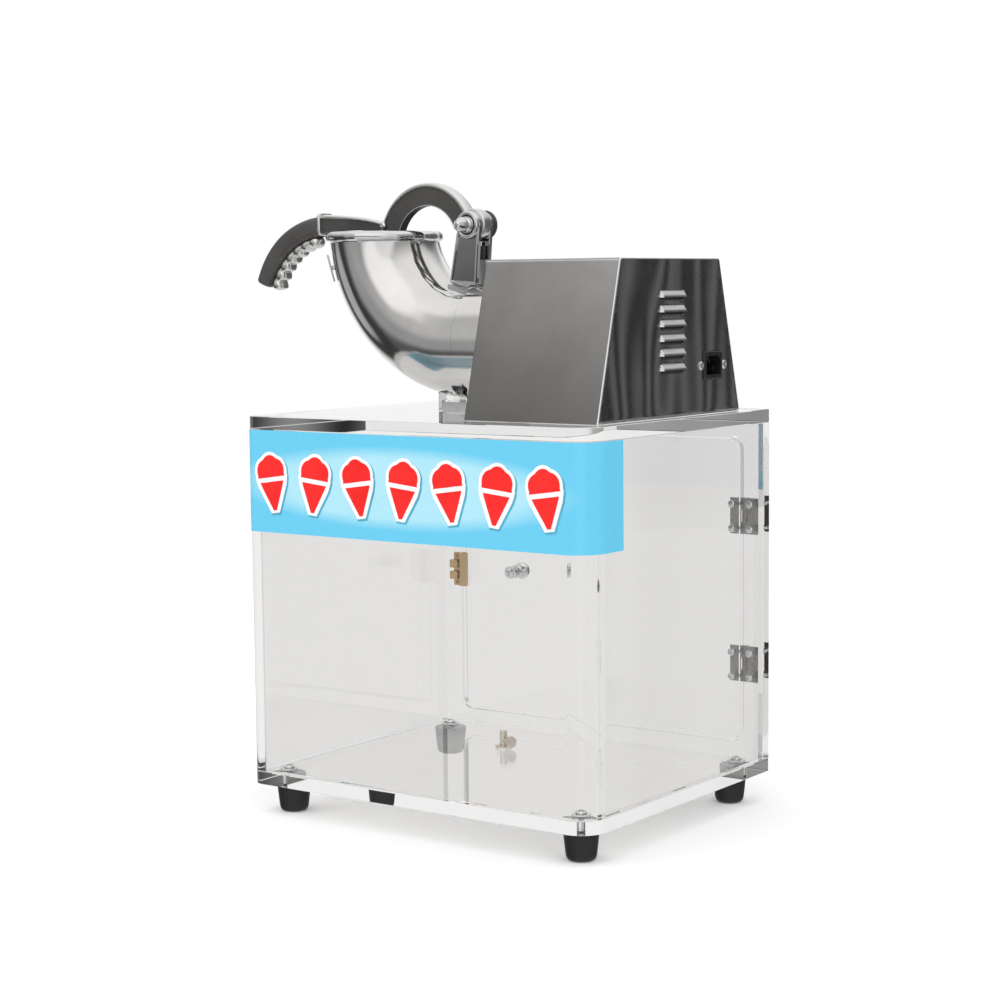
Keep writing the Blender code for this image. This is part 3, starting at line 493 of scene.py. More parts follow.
def clear_sheet(name, tint):
    """Cast acrylic: faintly tinted and hardly scratched. Lamps shine through it, and light caught in it gets out."""
    finish = Finish(name)
    scratches = finish.noise(60.0, 5.0, 0.7, (1.0, 1.0, 6.0), (0.3, 0.5, 0.2))
    finish.set(
        Transmission_Weight=1.0,
        IOR=1.49,
        Base_Color=finish.blend(finish.noise(3.0), tuple(0.985 * part for part in tint), tint),
        Roughness=finish.ramp(scratches, 0.62, 0.8, 0.0, 0.05),
    )
    path = finish.node("ShaderNodeLightPath")
    caught = finish.math("GREATER_THAN", path.outputs["Glossy Depth"], 1.5)
    straight = finish.math("MAXIMUM", path.outputs["Is Shadow Ray"], caught)
    open_way = finish.node("ShaderNodeBsdfTransparent", Color=tuple(0.97 * part for part in tint)).outputs[0]
    mixed = finish.node("ShaderNodeMixShader", Fac=straight)
    finish.tree.links.new(finish.shader.outputs[0], mixed.inputs[1])
    finish.tree.links.new(open_way, mixed.inputs[2])
    finish.tree.links.new(mixed.outputs[0], finish.tree.nodes["Material Output"].inputs["Surface"])
    return finish.material


def moulded(name, colour, low, high, texture=0.00006, texture_scale=1800.0, coat=0.0):
    """Moulded plastic or rubber: fine texture, slightly uneven shine and tone."""
    finish = Finish(name)
    fine = finish.noise(texture_scale, 2.0)
    patches = finish.noise(35.0, 4.0, 0.6)
    lighter = tuple(min(1.0, 1.25 * part + 0.004) for part in colour)
    finish.set(
        Base_Color=finish.blend(finish.ramp(patches, 0.35, 0.7, 0.0, 1.0), colour, lighter),
        Roughness=finish.ramp(patches, 0.3, 0.7, low, high),
        Coat_Weight=coat,
        Normal=finish.bump(fine, texture, 0.6),
    )
    return finish.material


def banner_film(name, blue, glow):
    """Printed film: blue ground with a pale oval glow where (x/a)^2 + (z/b)^2 is under 1."""
    finish = Finish(name)
    low, high = span("banner")
    centre = (np.array([-12.0, 0, (low[2] + high[2]) / 2]) + CENTRE) * MM
    scale = (1 / (190.0 * MM), 0.0, 1 / (37.0 * MM))
    scaled = finish.vector("MULTIPLY", finish.vector("SUBTRACT", finish.place, centre), scale)
    wide = finish.ramp(finish.vector("LENGTH", scaled, output="Value"), 0.72, 1.0, 1.0, 0.0)
    mottle = finish.noise(22.0, 2.0)
    pale = finish.math("MULTIPLY", wide, finish.ramp(mottle, 0.2, 0.8, 0.82, 1.0))
    finish.set(
        Base_Color=finish.blend(pale, blue, glow),
        Roughness=finish.ramp(mottle, 0.3, 0.7, 0.22, 0.32),
        Coat_Weight=0.5,
        Coat_Roughness=0.05,
    )
    return finish.material


def prepare_finishes():
    """All materials by name."""
    settings = bpy.context.scene.ice_shaver
    cabinet = settings.cabinet
    dark = tuple(settings.handle.grip_dark)
    house = HOUSE_LOW[2], HOUSE_HIGH[2]
    FINISHES.update(
        acrylic=clear_sheet("clear_sheet", tuple(cabinet.tint)),
        film=banner_film("banner_film", tuple(cabinet.film), tuple(cabinet.glow)),
        red=moulded("cup_red", tuple(cabinet.red), 0.3, 0.38, FINEST),
        white=moulded("outline_white", (0.92, 0.92, 0.92), 0.3, 0.38, FINEST, coat=0.5),
        shade=moulded("outline_shade", (0.06, 0.36, 0.50), 0.3, 0.38, FINEST, coat=0.5),
        # The satin housing is painted darker towards its foot: a painted reflection of a dark floor.
        satin=metal("satin_sheet", (0.46, 0.45, 0.44), 0.30, 0.42, (1.0, 1.0, 14.0), 500.0, painted_dark_below=house),
        mirror=metal("mirror_sheet", (0.50, 0.49, 0.49), 0.04, 0.07, wave=0.009, wave_scale=8.0),
        polished=metal("polished_tube", (0.78, 0.77, 0.76), 0.07, 0.15, wave=0.0016, wave_scale=18.0),
        chrome=metal("chrome", (0.80, 0.80, 0.80), 0.05, 0.10),
        rim=metal("rolled_rim", (0.80, 0.80, 0.80), 0.05, 0.09, wave=0.008, wave_scale=36.0),
        stainless=metal("stainless", (0.56, 0.55, 0.53), 0.22, 0.34, (8.0, 1.0, 1.0), 800.0),
        cast=metal("cast_alloy", (0.80, 0.80, 0.79), 0.20, 0.30, streak=FINEST),
        strip=metal("finger_strip", (0.80, 0.79, 0.77), 0.09, 0.15, streak=FINEST),
        brass=metal("brass", (0.60, 0.42, 0.22), 0.20, 0.32, grain_scale=500.0),
        # Same alloy as the chrome clevis, painted darker as painted shade in the ears' recesses, and darker still
        # towards the foot.
        recess=metal("alloy_painted_recess_shade", (0.44, 0.44, 0.44), 0.24, 0.36, painted_dark_below=(486.0, 545.0)),
        hinge=metal("hinge_steel", (0.27, 0.26, 0.25), 0.22, 0.32, (8.0, 1.0, 1.0), 800.0),
        nickel=metal("pale_brass", (0.78, 0.72, 0.62), 0.16, 0.26, grain_scale=500.0),
        iron=metal("laminations", (0.30, 0.29, 0.28), 0.40, 0.55, (60.0, 1.0, 1.0), 400.0),
        grip=moulded("grip_plastic", dark, 0.30, 0.42, 0.00005),
        rubber=moulded("rubber", (0.006, 0.006, 0.006), 0.45, 0.62, 0.0001, 1200.0),
        # Real black plastic; also painted shade in the housing's louvre slots and in the clevis rings.
        black=moulded("black_plastic", (0.010, 0.010, 0.011), 0.25, 0.40, 0.00005),
        enamel=moulded("motor_enamel", (0.06, 0.065, 0.07), 0.30, 0.45, 0.00004),
        signal=moulded("signal_red", (0.65, 0.02, 0.015), 0.25, 0.35, FINEST),
    )


# ---------------------------------------------------------------- operators
class PieceOperator:
    bl_options = {"REGISTER", "UNDO"}

    def execute(self, context):
        self.build(context.scene.ice_shaver)
        return {"FINISHED"}


def front_path(outset, back, bend_left, bend_right, steps=(14, 24)):
    """Plan of the bent front sheet, from the left side to the right, with each point's outward normal."""
    left, right, front = -HALF_W - outset, HALF_W + outset, -HALF_D - outset
    first, second = bend_left + outset, bend_right + outset
    turn_left, turn_right = sweep(180, 270, steps[0]), sweep(270, 360, steps[1])
    near_left, near_right = (np.linspace(back, front + bend, 5)[:-1] for bend in (first, second))
    points = [np.column_stack([np.full(4, left), near_left])]
    normals = [np.tile([-1.0, 0.0], (4, 1))]
    for centre, radius, angles in (
        ((left + first, front + first), first, turn_left),
        ((right - second, front + second), second, turn_right),
    ):
        out = directions(angles)
        points.append(np.array(centre) + radius * out)
        normals.append(out)
    points.append(np.column_stack([np.full(4, right), near_right[::-1]]))
    normals.append(np.tile([1.0, 0.0], (4, 1)))
    return [np.insert(np.concatenate(each), 2, 0.0, axis=1) for each in (points, normals)]


class SHAVER_OT_cabinet(PieceOperator, bpy.types.Operator):
    """The clear cabinet: bent front sheet, top, bottom, and back with its doorway"""

    bl_idname = "shaver.cabinet"
    bl_label = "Clear cabinet"

    def build(self, settings):
        sizes = settings.cabinet
        chamfer, acrylic = sizes.chamfer, "acrylic"
        inside = HALF_D - SHEET
        path, out = front_path(0, inside - GAP, sizes.bend_left, sizes.bend_right)
        low, high = FLOOR + GAP / 3, UNDER_TOP - GAP / 3
        section = np.array(
            [(0, low + chamfer), (0, high - chamfer), (-chamfer, high), (-SHEET + chamfer, high)]
            + [(-SHEET, high - chamfer), (-SHEET, low + chamfer), (-SHEET + chamfer, low), (-chamfer, low)]
        )
        wall = rings(carried(path, out, (0, 0, 1), section))
        put("front_sheet", wall, acrylic, stands_for=("cabinet_shell",))
        radii = (sizes.bend_left, sizes.bend_right, 1.5, 1.5)
        outline = rounded((-HALF_W, -HALF_D), (HALF_W, HALF_D), radii, 16)
        for name, bottom, top in (("top_plate", UNDER_TOP, TOP), ("bottom_plate", FOOT_HEIGHT, FLOOR)):
            put(f"{name}_sheet", plate(outline, bottom, top, chamfer), acrylic, stands_for=(name,))
        put("back_sheet", self.back(inside, chamfer), acrylic, stands_for=("back_panel",))
        refined("support_block", acrylic, "machine", 0.4)
        refined("ice_chute", "stainless", "machine", 0.4)
        refined("drain_fitting", "nickel", "machine", 0.3)

    def back(self, inside, chamfer):
        """A frame: the same number of points round the panel's edge and round the doorway, joined by four faces."""
        half, low, high = 156.0, DOOR_LOW[2] - 1.5, DOOR_HIGH[2] + 1.5
        outer = rounded((-HALF_W, FLOOR + GAP / 3), (HALF_W, UNDER_TOP - GAP / 3), [0.6] * 4, 12, 4)
        inner = rounded((-half, low), (half, high), [12.0] * 4, 12, 4)
        rows = []
        for y, face in ((inside + GAP / 3, 0), (HALF_D, 1)):
            lean = chamfer if face == 0 else -chamfer
            pair = [(inner, 0, y + lean), (inner, -chamfer, y), (outer, chamfer, y), (outer, 0, y + lean)]
            rows += pair if face == 0 else pair[::-1]
        return rings([upright(inset(outline, shift), y) for outline, shift, y in rows], closed=True)


class SHAVER_OT_banner(PieceOperator, bpy.types.Operator):
    """The blue banner round the front, with cups of shaved ice on it"""

    bl_idname = "shaver.banner"
    bl_label = "Banner"

    def build(self, settings):
        sizes = settings.cabinet
        low, high = span("banner")
        end = -HALF_D + sizes.bend_right + sizes.banner_return
        path, out = front_path(0.25, end, sizes.bend_left, sizes.bend_right)
        section = np.array([(0, low[2]), (0.5, low[2]), (0.5, high[2]), (0, high[2])])
        film = rings(carried(path, out, (0, 0, 1), section))
        put("banner_film", film, "film", stands_for=("banner",))
        face = -HALF_D - 0.75
        middle = (low[2] + high[2]) / 2
        spots = np.linspace(-HALF_W + 32.0, HALF_W - 42.0, sizes.icons)
        layers = (("shade", 3.6, (1.2, -1.4), 0.1), ("white", 3.0, (0, 0), 0.25), ("red", 0.0, (0, 0), 0.4))
        for name, grow, shift, depth in layers:
            shapes = []
            for number, x in enumerate(spots):
                cos, sin = directions(0.14 if number % 2 == 0 else -0.10)
                for outline in self.cup(grow):
                    placed = outline @ np.array([[cos, sin], [-sin, cos]]) + (x + shift[0], middle + shift[1])
                    shapes.append(stacked(placed, [(face, 0), (face - depth, 0)], "XZ"))
            put(f"cups_{name}", together(*shapes), name)

    def cup(self, grow):
        """A paper cone under a heap of ice; grow moves the outlines outwards for the white edge."""
        angle = np.radians(np.linspace(-8, 188, 61))
        scallop = 15.5 + 1.5 * np.abs(np.sin(angle * 3.0))
        heap = np.stack([scallop * np.cos(angle), 6.5 + scallop * np.sin(angle) * 1.05], -1)
        cone = np.array([(-14.0, 1.2), (-12.0, -3.5), (-1.8, -25.0), (1.8, -25.0), (12.0, -3.5), (14.0, 1.2)])
        if grow:
            wider = [(-15.5, 2.0), (-14.0, -3.5), (-3.0, -25.5), (3.0, -25.5), (14.0, -3.5), (15.5, 2.0)]
            return [inset(np.concatenate([heap, wider]), -grow)]
        return [heap, cone[::-1] - (0, 1.2)]


class SHAVER_OT_door(PieceOperator, bpy.types.Operator):
    """The rear door with its hinges, knob and catch"""

    bl_idname = "shaver.door"
    bl_label = "Rear door"

    def build(self, settings):
        chamfer = settings.cabinet.chamfer
        outline = rounded((DOOR_LOW[0], DOOR_LOW[2]), (DOOR_HIGH[0], DOOR_HIGH[2]), [10.5] * 4, 14)
        sheet = plate(outline, DOOR_LOW[1], DOOR_HIGH[1], chamfer, "XZ")
        put("door_sheet", sheet, "acrylic", "door", ("door",))
        knob_x, knob_y, knob_z = np.mean(span("door_knob"), 0) * (1, 0, 1) + (0, HALF_D, 0)
        profile = [(0, 17), (4.0, 17), (7.2, 16), (8.6, 13.4), (8.5, 10.5), (6.8, 8.0), (4.4, 6.0), (3.9, 3.4)]
        knob = turned([*profile, (6.4, 1.2), (6.4, 0), (0, 0)], (knob_x, knob_y, knob_z), (0, 1, 0), 56, 0.5)
        put("knob_turned", knob, "chrome", "door", ("door_knob",))
        inner = (knob_x, HALF_D - SHEET, knob_z)
        screw = together(
            turned([(0, 0.9), (6.5, 0.9), (6.5, 0), (2.2, 0), (2.2, -11), (0, -11)], inner, (0, -1, 0), 32, 0.2),
            pan_screw((knob_x, HALF_D - SHEET - 0.9, knob_z), (0, -1, 0), 4.2, 2.4),
        )
        put("knob_screw_turned", screw, "chrome", "door", ("knob_screw",))
        for level in ("upper", "lower"):
            for side, body in (("panel", "machine"), ("door", "door")):
                node = f"{level}_hinge_{side}_leaf"
                refined(node, "hinge", body, 0.35)
                self.screws(node, body, 1 if side == "panel" else -1)
        put("catch_turned", self.catch(), "brass", stands_for=("catch_body",))
        refined("catch_strike", "brass", "door", 0.5)

    def catch(self):
        """A folded plate with a screw tab at each end and two barrels, one above the other, that face the door."""
        low, high = span("catch_body")
        middle = (low[2] + high[2]) / 2
        outline = rounded((low[0], low[2]), (high[0], high[2]), [0.8] * 4, 4)
        shapes = [plate(outline, high[1] - 1.4, high[1], 0.2, "XZ")]
        reach, x = (high[2] - low[2]) / 2, (low[0] + high[0]) / 2
        for side in (-1, 1):
            barrel = middle + side * reach * 0.34
            outline = rounded((low[0], barrel - reach * 0.24), (high[0], barrel + reach * 0.24), [0.9] * 4, 4)
            shapes.append(plate(outline, low[1], high[1] - 1.2, 0.4, "XZ"))
            tube = [(0, 0), (2.1, 0), (2.1, 1.6), (1.5, 1.6), (1.5, 0.9), (0, 0.9)]
            shapes.append(turned(tube, (high[0] - 1.0, (low[1] + high[1]) / 2, barrel), (1, 0, 0), 28, 0.15))
            shapes.append(pan_screw((x, high[1] - 1.4, middle + side * reach * 0.82), (0, -1, 0), 2.3, 1.4))
        return together(*shapes)

    def screws(self, node, body, side):
        """Two cap nuts on the outer face of a hinge leaf and two pan heads on the sheet's inner face."""
        low, high = span(node)
        x = HINGE[0] + side * 9.5
        face = HALF_D + GAP + 1.6
        shapes = []
        for z in (low[2] + 5.5, high[2] - 5.5):
            shapes.append(cap_screw((x, face, z), (0, 1, 0), 2.7, 3.0))
            inner = HALF_D - SHEET + (GAP if side < 0 else 0)
            shapes.append(turned([(0, 0), (1.5, 0), (1.5, 12.0), (0, 12.0)], (x, inner, z), (0, 1, 0), 16, 0))
            shapes.append(pan_screw((x, inner, z), (0, -1, 0), 3.4, 1.9))
        put(f"{node}_screws", together(*shapes), "chrome", body)


class SHAVER_OT_feet(PieceOperator, bpy.types.Operator):
    """Four rubber feet with their screws and washers"""

    bl_idname = "shaver.feet"
    bl_label = "Feet"

    def build(self, settings):
        for corner in ("front_left", "front_right", "back_left", "back_right"):
            x, y, _ = np.mean(span(f"foot_{corner}"), 0)
            top = FOOT_HEIGHT - 0.2
            profile = [(0, top), (15.4, top), (15.6, top - 2.2), (13.5, 5.0), (12.6, 1.8), (10.6, 0), (5.0, 0)]
            foot = turned([*profile, (4.4, 2.4), (0, 2.4)], (x, y, 0), (0, 0, 1), 64, 0.6)
            put(f"foot_{corner}_rubber", foot, "rubber", stands_for=(f"foot_{corner}",))
            washer = [(0, 1.6), (8.5, 1.6), (8.5, 0.2), (2.4, 0.2), (2.4, -26), (0, -26)]
            washer = turned(washer, (x, y, FLOOR), (0, 0, 1), 40, 0.15)
            screw = together(washer, pan_screw((x, y, FLOOR + 1.6), (0, 0, 1), 5.0, 3.4))
            node = f"foot_screw_{corner}"
            put(f"{node}_turned", screw, "chrome", stands_for=(node,))


class SHAVER_OT_hopper(PieceOperator, bpy.types.Operator):
    """The polished elbow hopper with its rolled rim and blank badge"""

    bl_idname = "shaver.hopper"
    bl_label = "Hopper"

    def build(self, settings):
        elbow = self.elbow(settings.hopper)
        put("hopper_elbow", elbow, ["polished", "rim"], "machine", ("hopper",), choose=self.on_rim)
        refined("hopper_badge", "stainless", "machine", 0.2)

    def on_rim(self, middles):
        """1 on the rolled rim's faces: above the bead's foot and outside the tube's inner skin."""
        from_axis = np.hypot(middles[:, 0] - MOUTH[0], middles[:, 1])
        return (middles[:, 2] > MOUTH[2] - 4.9) & (from_axis > 46.0)

    def elbow(self, sizes, steps=80, around=144):
        """Rings in the mouth's plane swung about the pivot: the outer skin from outlet to mouth, the rolled rim,
        then the inner skin back. A strip inside the bend is set in."""
        angle = np.linspace(0, 2 * math.pi, around, endpoint=False)
        from_inside = np.minimum(angle, 2 * math.pi - angle)[None]
        swing = np.linspace(math.pi / 2, 0, steps)[:, None]
        half = np.radians(np.interp(swing, [0, math.pi / 2], [21.5, 35.0]))
        step = np.clip((half - from_inside) / 0.035 + 0.5, 0, 1)
        depth = sizes.crease_depth * step * np.clip(swing / 0.12, 0, 1)
        groove = 0.5 * np.exp(-(((from_inside - half) / 0.02) ** 2)) * np.clip(swing / 0.12, 0, 1)
        outer = sizes.tube_radius - depth - groove
        bead = sweep(-80, 260, 20)
        rim_radius = sizes.tube_radius - 0.8 + sizes.bead * np.cos(bead)
        rim_rise = sizes.bead * np.sin(bead)
        inner = outer[::-1] - sizes.wall
        radius = np.concatenate([outer[:-2], np.repeat(rim_radius[:, None], around, 1), inner[2:]])
        swings = np.concatenate([swing[:-2, 0], np.zeros(len(bead)), swing[::-1][2:, 0]])
        drops = np.concatenate([np.zeros(steps - 2), rim_rise, np.zeros(steps - 2)])
        x = MOUTH[0] - PIVOT[0] + radius * np.cos(angle)
        z = drops[:, None] - DROP
        return rings(about_pivot(x, radius * np.sin(angle), z, swings[:, None]), closed=True)


class SHAVER_OT_pivot(PieceOperator, bpy.types.Operator):
    """The clevis on the elbow with its bolt, dome nut and safety switch"""

    bl_idname = "shaver.pivot"
    bl_label = "Pivot bracket"

    def build(self, settings):
        x, _, z = PIVOT
        foot = [(-58.5, 489.0), (-57.0, 486.4), (-29.0, 484.6), (-27.9, 487.0)]
        outline = np.concatenate([arc((x, z), 12.8, -12, 192, 40), foot])
        layers = [(6.3, 0.8), (7.1, 0), (10.5, 0), (11.4, 0.9), (11.4, 2.2), (10.1, 3.2)]
        ears = [stacked(outline, [(side * y, shift) for y, shift in layers], "XZ") for side in (-1, 1)]
        web = [(-53.5, 508.0), (-57.0, 489.0), (-55.0, 487.5), (-29.0, 485.0), (-28.4, 508.0)]
        ears.append(plate(np.array(web), -6.8, 6.8, 0.4, "XZ"))
        ears.append(self.pad(settings.hopper.tube_radius))
        ring = [(9.0, 0), (9.0, 2.2), (9.8, 3.0), (11.6, 3.0), (12.6, 2.0), (12.8, 0)]
        # Black discs inside the rings: painted shade in the hollow round the nut.
        recess = []
        for side in (-1, 1):
            place, axis = (x, side * 11.2, z), (0, side, 0)
            ears.append(turned(ring, place, axis, 64, 0.3))
            recess.append(turned([(0, 0), (9.1, 0), (9.1, 0.4), (0, 0.4)], place, axis, 48, 0))
        clevis = together(*ears)
        # Painted shade: the ears' recessed flat faces take the darker alloy, the bevels the bright chrome.
        flat = lambda middles: np.abs(np.abs(middles[:, 1]) - 10.1) < 0.05
        finishes = ["chrome", "recess"]
        put("pivot_clevis", clevis, finishes, "machine", ("pivot_bracket",), choose=flat)
        # Painted shade: the black discs in the rings.
        put("pivot_recess_painted_shade", together(*recess), "black")
        nut = [(0, 17.4), (1.9, 17.2), (3.2, 16.2), (4.4, 14.8), (6.2, 13.0), (7.0, 10.6), (6.6, 8.2), (5.4, 6.6)]
        nut += [(5.4, 5.6), (7.2, 5.2), (7.4, 3.0), (8.0, 2.4), (8.0, 0), (0, 0)]
        nut = turned(nut, (x, -11.6, z), (0, -1, 0), 56, 0.35)
        put("dome_nut_turned", nut, "chrome", stands_for=("dome_nut",))
        bolt = together(
            turned([(0, 0), (5.0, 0), (5.0, 30.0), (0, 30.0)], (x, -15.0, z), (0, 1, 0), 40, 0.3),
            hexagon(9.0, 0, 5.6, (x, 11.8, z), (0, 1, 0)),
        )
        put("pivot_bolt_turned", bolt, "chrome", stands_for=("pivot_bolt",))
        washer = turned([(9.2, 0), (13.6, 0), (13.6, 2.6), (9.2, 2.6), (9.2, 0)], (x, 14.3, z), (0, 1, 0), 56, 0.4)
        put("pivot_washer", washer, "grip")
        refined("safety_switch", "black", "machine", 0)

    def pad(self, radius):
        """A saddle that follows the elbow's inner bend: the elbow's own surface moved out, between two angles."""
        swing, side = np.meshgrid(sweep(62, 86, 13), sweep(-20, 20, 12), indexing="ij")

        def skin(out):
            return about_pivot(MOUTH[0] - PIVOT[0] + out * np.cos(side), out * np.sin(side), -DROP, swing)

        grids = skin(radius - 1.0), skin(radius + 2.2)
        flats = [(grid.reshape(-1, 3), quads(*grid.shape[:2])) for grid in grids]
        rims = np.stack([border(grid) for grid in grids])
        return together(*flats, (rims.reshape(-1, 3), quads(2, rims.shape[1], around_cols=True)))


class SHAVER_OT_handle(PieceOperator, bpy.types.Operator):
    """The lever handle: boss, arch, neck, collar, grip, finger strip and pusher"""

    bl_idname = "shaver.handle"
    bl_label = "Handle"

    ARCH = np.array([-88.5, 524.6])
    GRIP = np.array([-213.0, 459.0])

    def build(self, settings):
        sizes = settings.handle
        put("arm_rim", self.bands(sizes.rim), "cast", "handle", ("arm",))
        put("arm_panels", self.panels(), "grip", "handle")
        screw = pan_screw((-140.5, -6.2, 541.6), (0, -1, 0), 3.4, 2.0)
        put("arm_screw_turned", screw, "chrome", "handle", ("arm_screw",))
        put("collar_turned", self.collar(), "chrome", "handle", ("collar_band",))
        put("grip_body", self.grip(), "grip", "handle", ("grip",))
        put("grip_band", self.grip_band(), "cast", "handle")
        put("finger_lobes", self.strip(sizes.lobes), "strip", "handle", ("finger_strip",))
        bar, disc = self.pusher()
        put("pusher_bar", bar, "stainless", "handle", ("pusher_arm",))
        put("pusher_disc", disc, "cast", "handle", ("pusher_plate",))

    def band(self, line, thick, half_width, power=3.2, aside=0.0):
        """A rounded strip along a line in the XZ plane: its outer face on the line, its thickness to the left of it.
        The thickness may be given for the line's start and end."""
        line = np.asarray(line, float)
        thick = np.linspace(*np.broadcast_to(thick, 2), len(line))[:, None]
        run = np.gradient(line, axis=0)
        run /= np.linalg.norm(run, axis=1, keepdims=True)
        left = np.stack([-run[:, 1], run[:, 0]], -1)
        unit = oval(1.0, half_width, power, 28)
        section = np.stack([thick / 2 * unit[:, 0], 0 * thick + unit[:, 1]], -1)
        return rings(carried(upright(line + left * thick / 2, aside), upright(left), (0, 1, 0), section))

    def neck(self, part):
        """The neck's upper or lower edge as a smooth line of points."""
        upper = [(-138.0, 543.6), (-150.0, 547.0), (-172.0, 550.4), (-194.0, 552.8), (-216.6, 554.2)]
        lower = [(-216.6, 535.0), (-199.0, 536.6), (-176.0, 537.0), (-156.0, 535.6), (-140.0, 532.0)]
        line = np.array(upper if part == "upper" else lower)
        x = np.linspace(line[0, 0], line[-1, 0], 24)
        order = np.argsort(line[:, 0])
        fit = np.polynomial.Polynomial.fit(line[order, 0], line[order, 1], 3)
        return np.column_stack([x, fit(x)])

    def bands(self, rim):
        arch_outer = arc(self.ARCH, 55.8, 30, 176, 48)
        arch_inner = arc(self.ARCH, 34.2, 186, 20, 48)
        profile = [(0, 5.9), (14.0, 5.9), (15.0, 5.0), (15.0, -5.0), (14.0, -5.9), (0, -5.9)]
        return together(
            self.band(arch_outer, (rim * 1.5, rim * 0.4), 6.4),
            self.band(arch_inner, 0.9, 0.6, aside=-5.3),
            self.band(self.neck("upper"), (rim * 0.6, rim * 0.9), 6.6),
            turned(profile, PIVOT, (0, 1, 0), 72, 0.4),
        )

    def panels(self):
        """The dark sides between the bright bands: arch and neck, a little narrower than the bands."""
        arch_shape = np.concatenate([arc(self.ARCH, 54.0, 34, 176, 40), arc(self.ARCH, 34.4, 178, 22, 40)])
        upper, lower = self.neck("upper"), self.neck("lower")
        neck_shape = np.concatenate([upper - (0, 1.6), lower + (0, 1.0)])
        layers = [(-5.0, 0.5), (-4.4, 0), (4.4, 0), (5.0, 0.5)]
        return together(stacked(arch_shape, layers, "XZ"), stacked(neck_shape, layers, "XZ"))

    def collar(self):
        """A rounded chrome band: an oval section along X whose size swells in the middle."""
        low, high = span("collar_band")
        x = np.linspace(low[0] + 0.4, low[0] + 4.2, 13)
        swell = 1 - 0.08 * np.abs(np.linspace(-1, 1, 13)) ** 3
        half_z, half_y = (high[2] - low[2]) / 2 - 0.3, 11.2
        path = np.column_stack([x, 0 * x, np.full(13, (low[2] + high[2]) / 2)])
        section = oval(1.0, 1.0, 5.0, 64) * [half_y, half_z]
        return rings(carried(path, (0, 1, 0), (0, 0, 1), swell[:, None, None] * section))

    def around(self, centre, radius, angles, section):
        """A section carried round an arc in the XZ plane: centre + radius (cos a, sin a)."""
        out = directions(angles)
        path = upright(centre + np.reshape(radius, (-1, 1)) * out)
        return rings(carried(path, upright(out), (0, 1, 0), section))

    def grip(self):
        """An oval section along an arc, slightly fuller in the middle, drawn in to a rounded tip."""
        share = 1 - (1 - np.linspace(0, 1, 60)) ** 1.6
        angles = np.radians(93.4 + 68.1 * share)
        tip = np.sqrt(np.clip(1 - (np.clip(share - 0.955, 0, 1) / 0.0452) ** 2, 0.0, 1))
        full = (0.94 + 0.06 * np.sin(math.pi * np.clip(share * 1.1, 0, 1))) * np.maximum(tip, 0.02)
        return self.around(self.GRIP, 83.6, angles, full[:, None, None] * oval(9.9, 10.6, 4.2, 52))

    def grip_band(self):
        """A bright strip on the grip's back that narrows towards the tip."""
        share = np.linspace(0, 1, 40)
        angles = np.radians(93.4 + 58.8 * share)
        width = 7.4 * (1 - share**1.5) + 1.2
        halves = np.column_stack([np.full(40, 1.25), width])
        return self.around(self.GRIP, 92.3, angles, halves[:, None] * oval(1.0, 1.0, 2.6, 24))

    def strip(self, lobes):
        """The lobed strip inside the grip: its inner radius is 67.4 - 3 u - 3.4 |sin(lobes pi u)|^1.3."""
        share = np.linspace(0, 1, 121)
        lobe = np.abs(np.sin(math.pi * lobes * share)) ** 1.3
        inner = 67.4 - 3.0 * share - 3.4 * lobe
        outer = 74.6 + 1.2 * lobe
        ends = np.sqrt(np.clip(1 - (np.abs(share - 0.5) * 2) ** 24, 0.02, 1))
        halves = np.column_stack([(outer - inner) / 2 * ends, (8.2 - 0.8 * (1 - lobe)) * ends])
        angles = np.radians(96.2 + 64.6 * share)
        return self.around(self.GRIP, (inner + outer) / 2, angles, halves[:, None] * oval(1.0, 1.0, 2.5, 48))

    def pusher(self):
        """A rounded bar on an arc about the pivot, and a ribbed disc square to the bend."""
        bar = self.around(PIVOT[[0, 2]], 98.0, sweep(187.8, 243.6, 39), oval(6.0, 5.0, 5.0, 28))
        cos, sin = directions(math.radians(246.0))
        hub = (PIVOT[0] + BEND * cos, 0, PIVOT[2] + BEND * sin)
        profile = [(0, 3.5)]
        for radius in np.arange(8, 44, 6.0):
            profile += [(radius, 3.5), (radius + 0.8, 2.6), (radius + 2.2, 2.6), (radius + 3.0, 3.5)]
        profile += [(45.0, 3.5), (46.0, 2.5), (46.0, -2.5), (45.0, -3.5), (0, -3.5)]
        return bar, turned(profile, hub, (-sin, 0, cos), 96, 0.3)


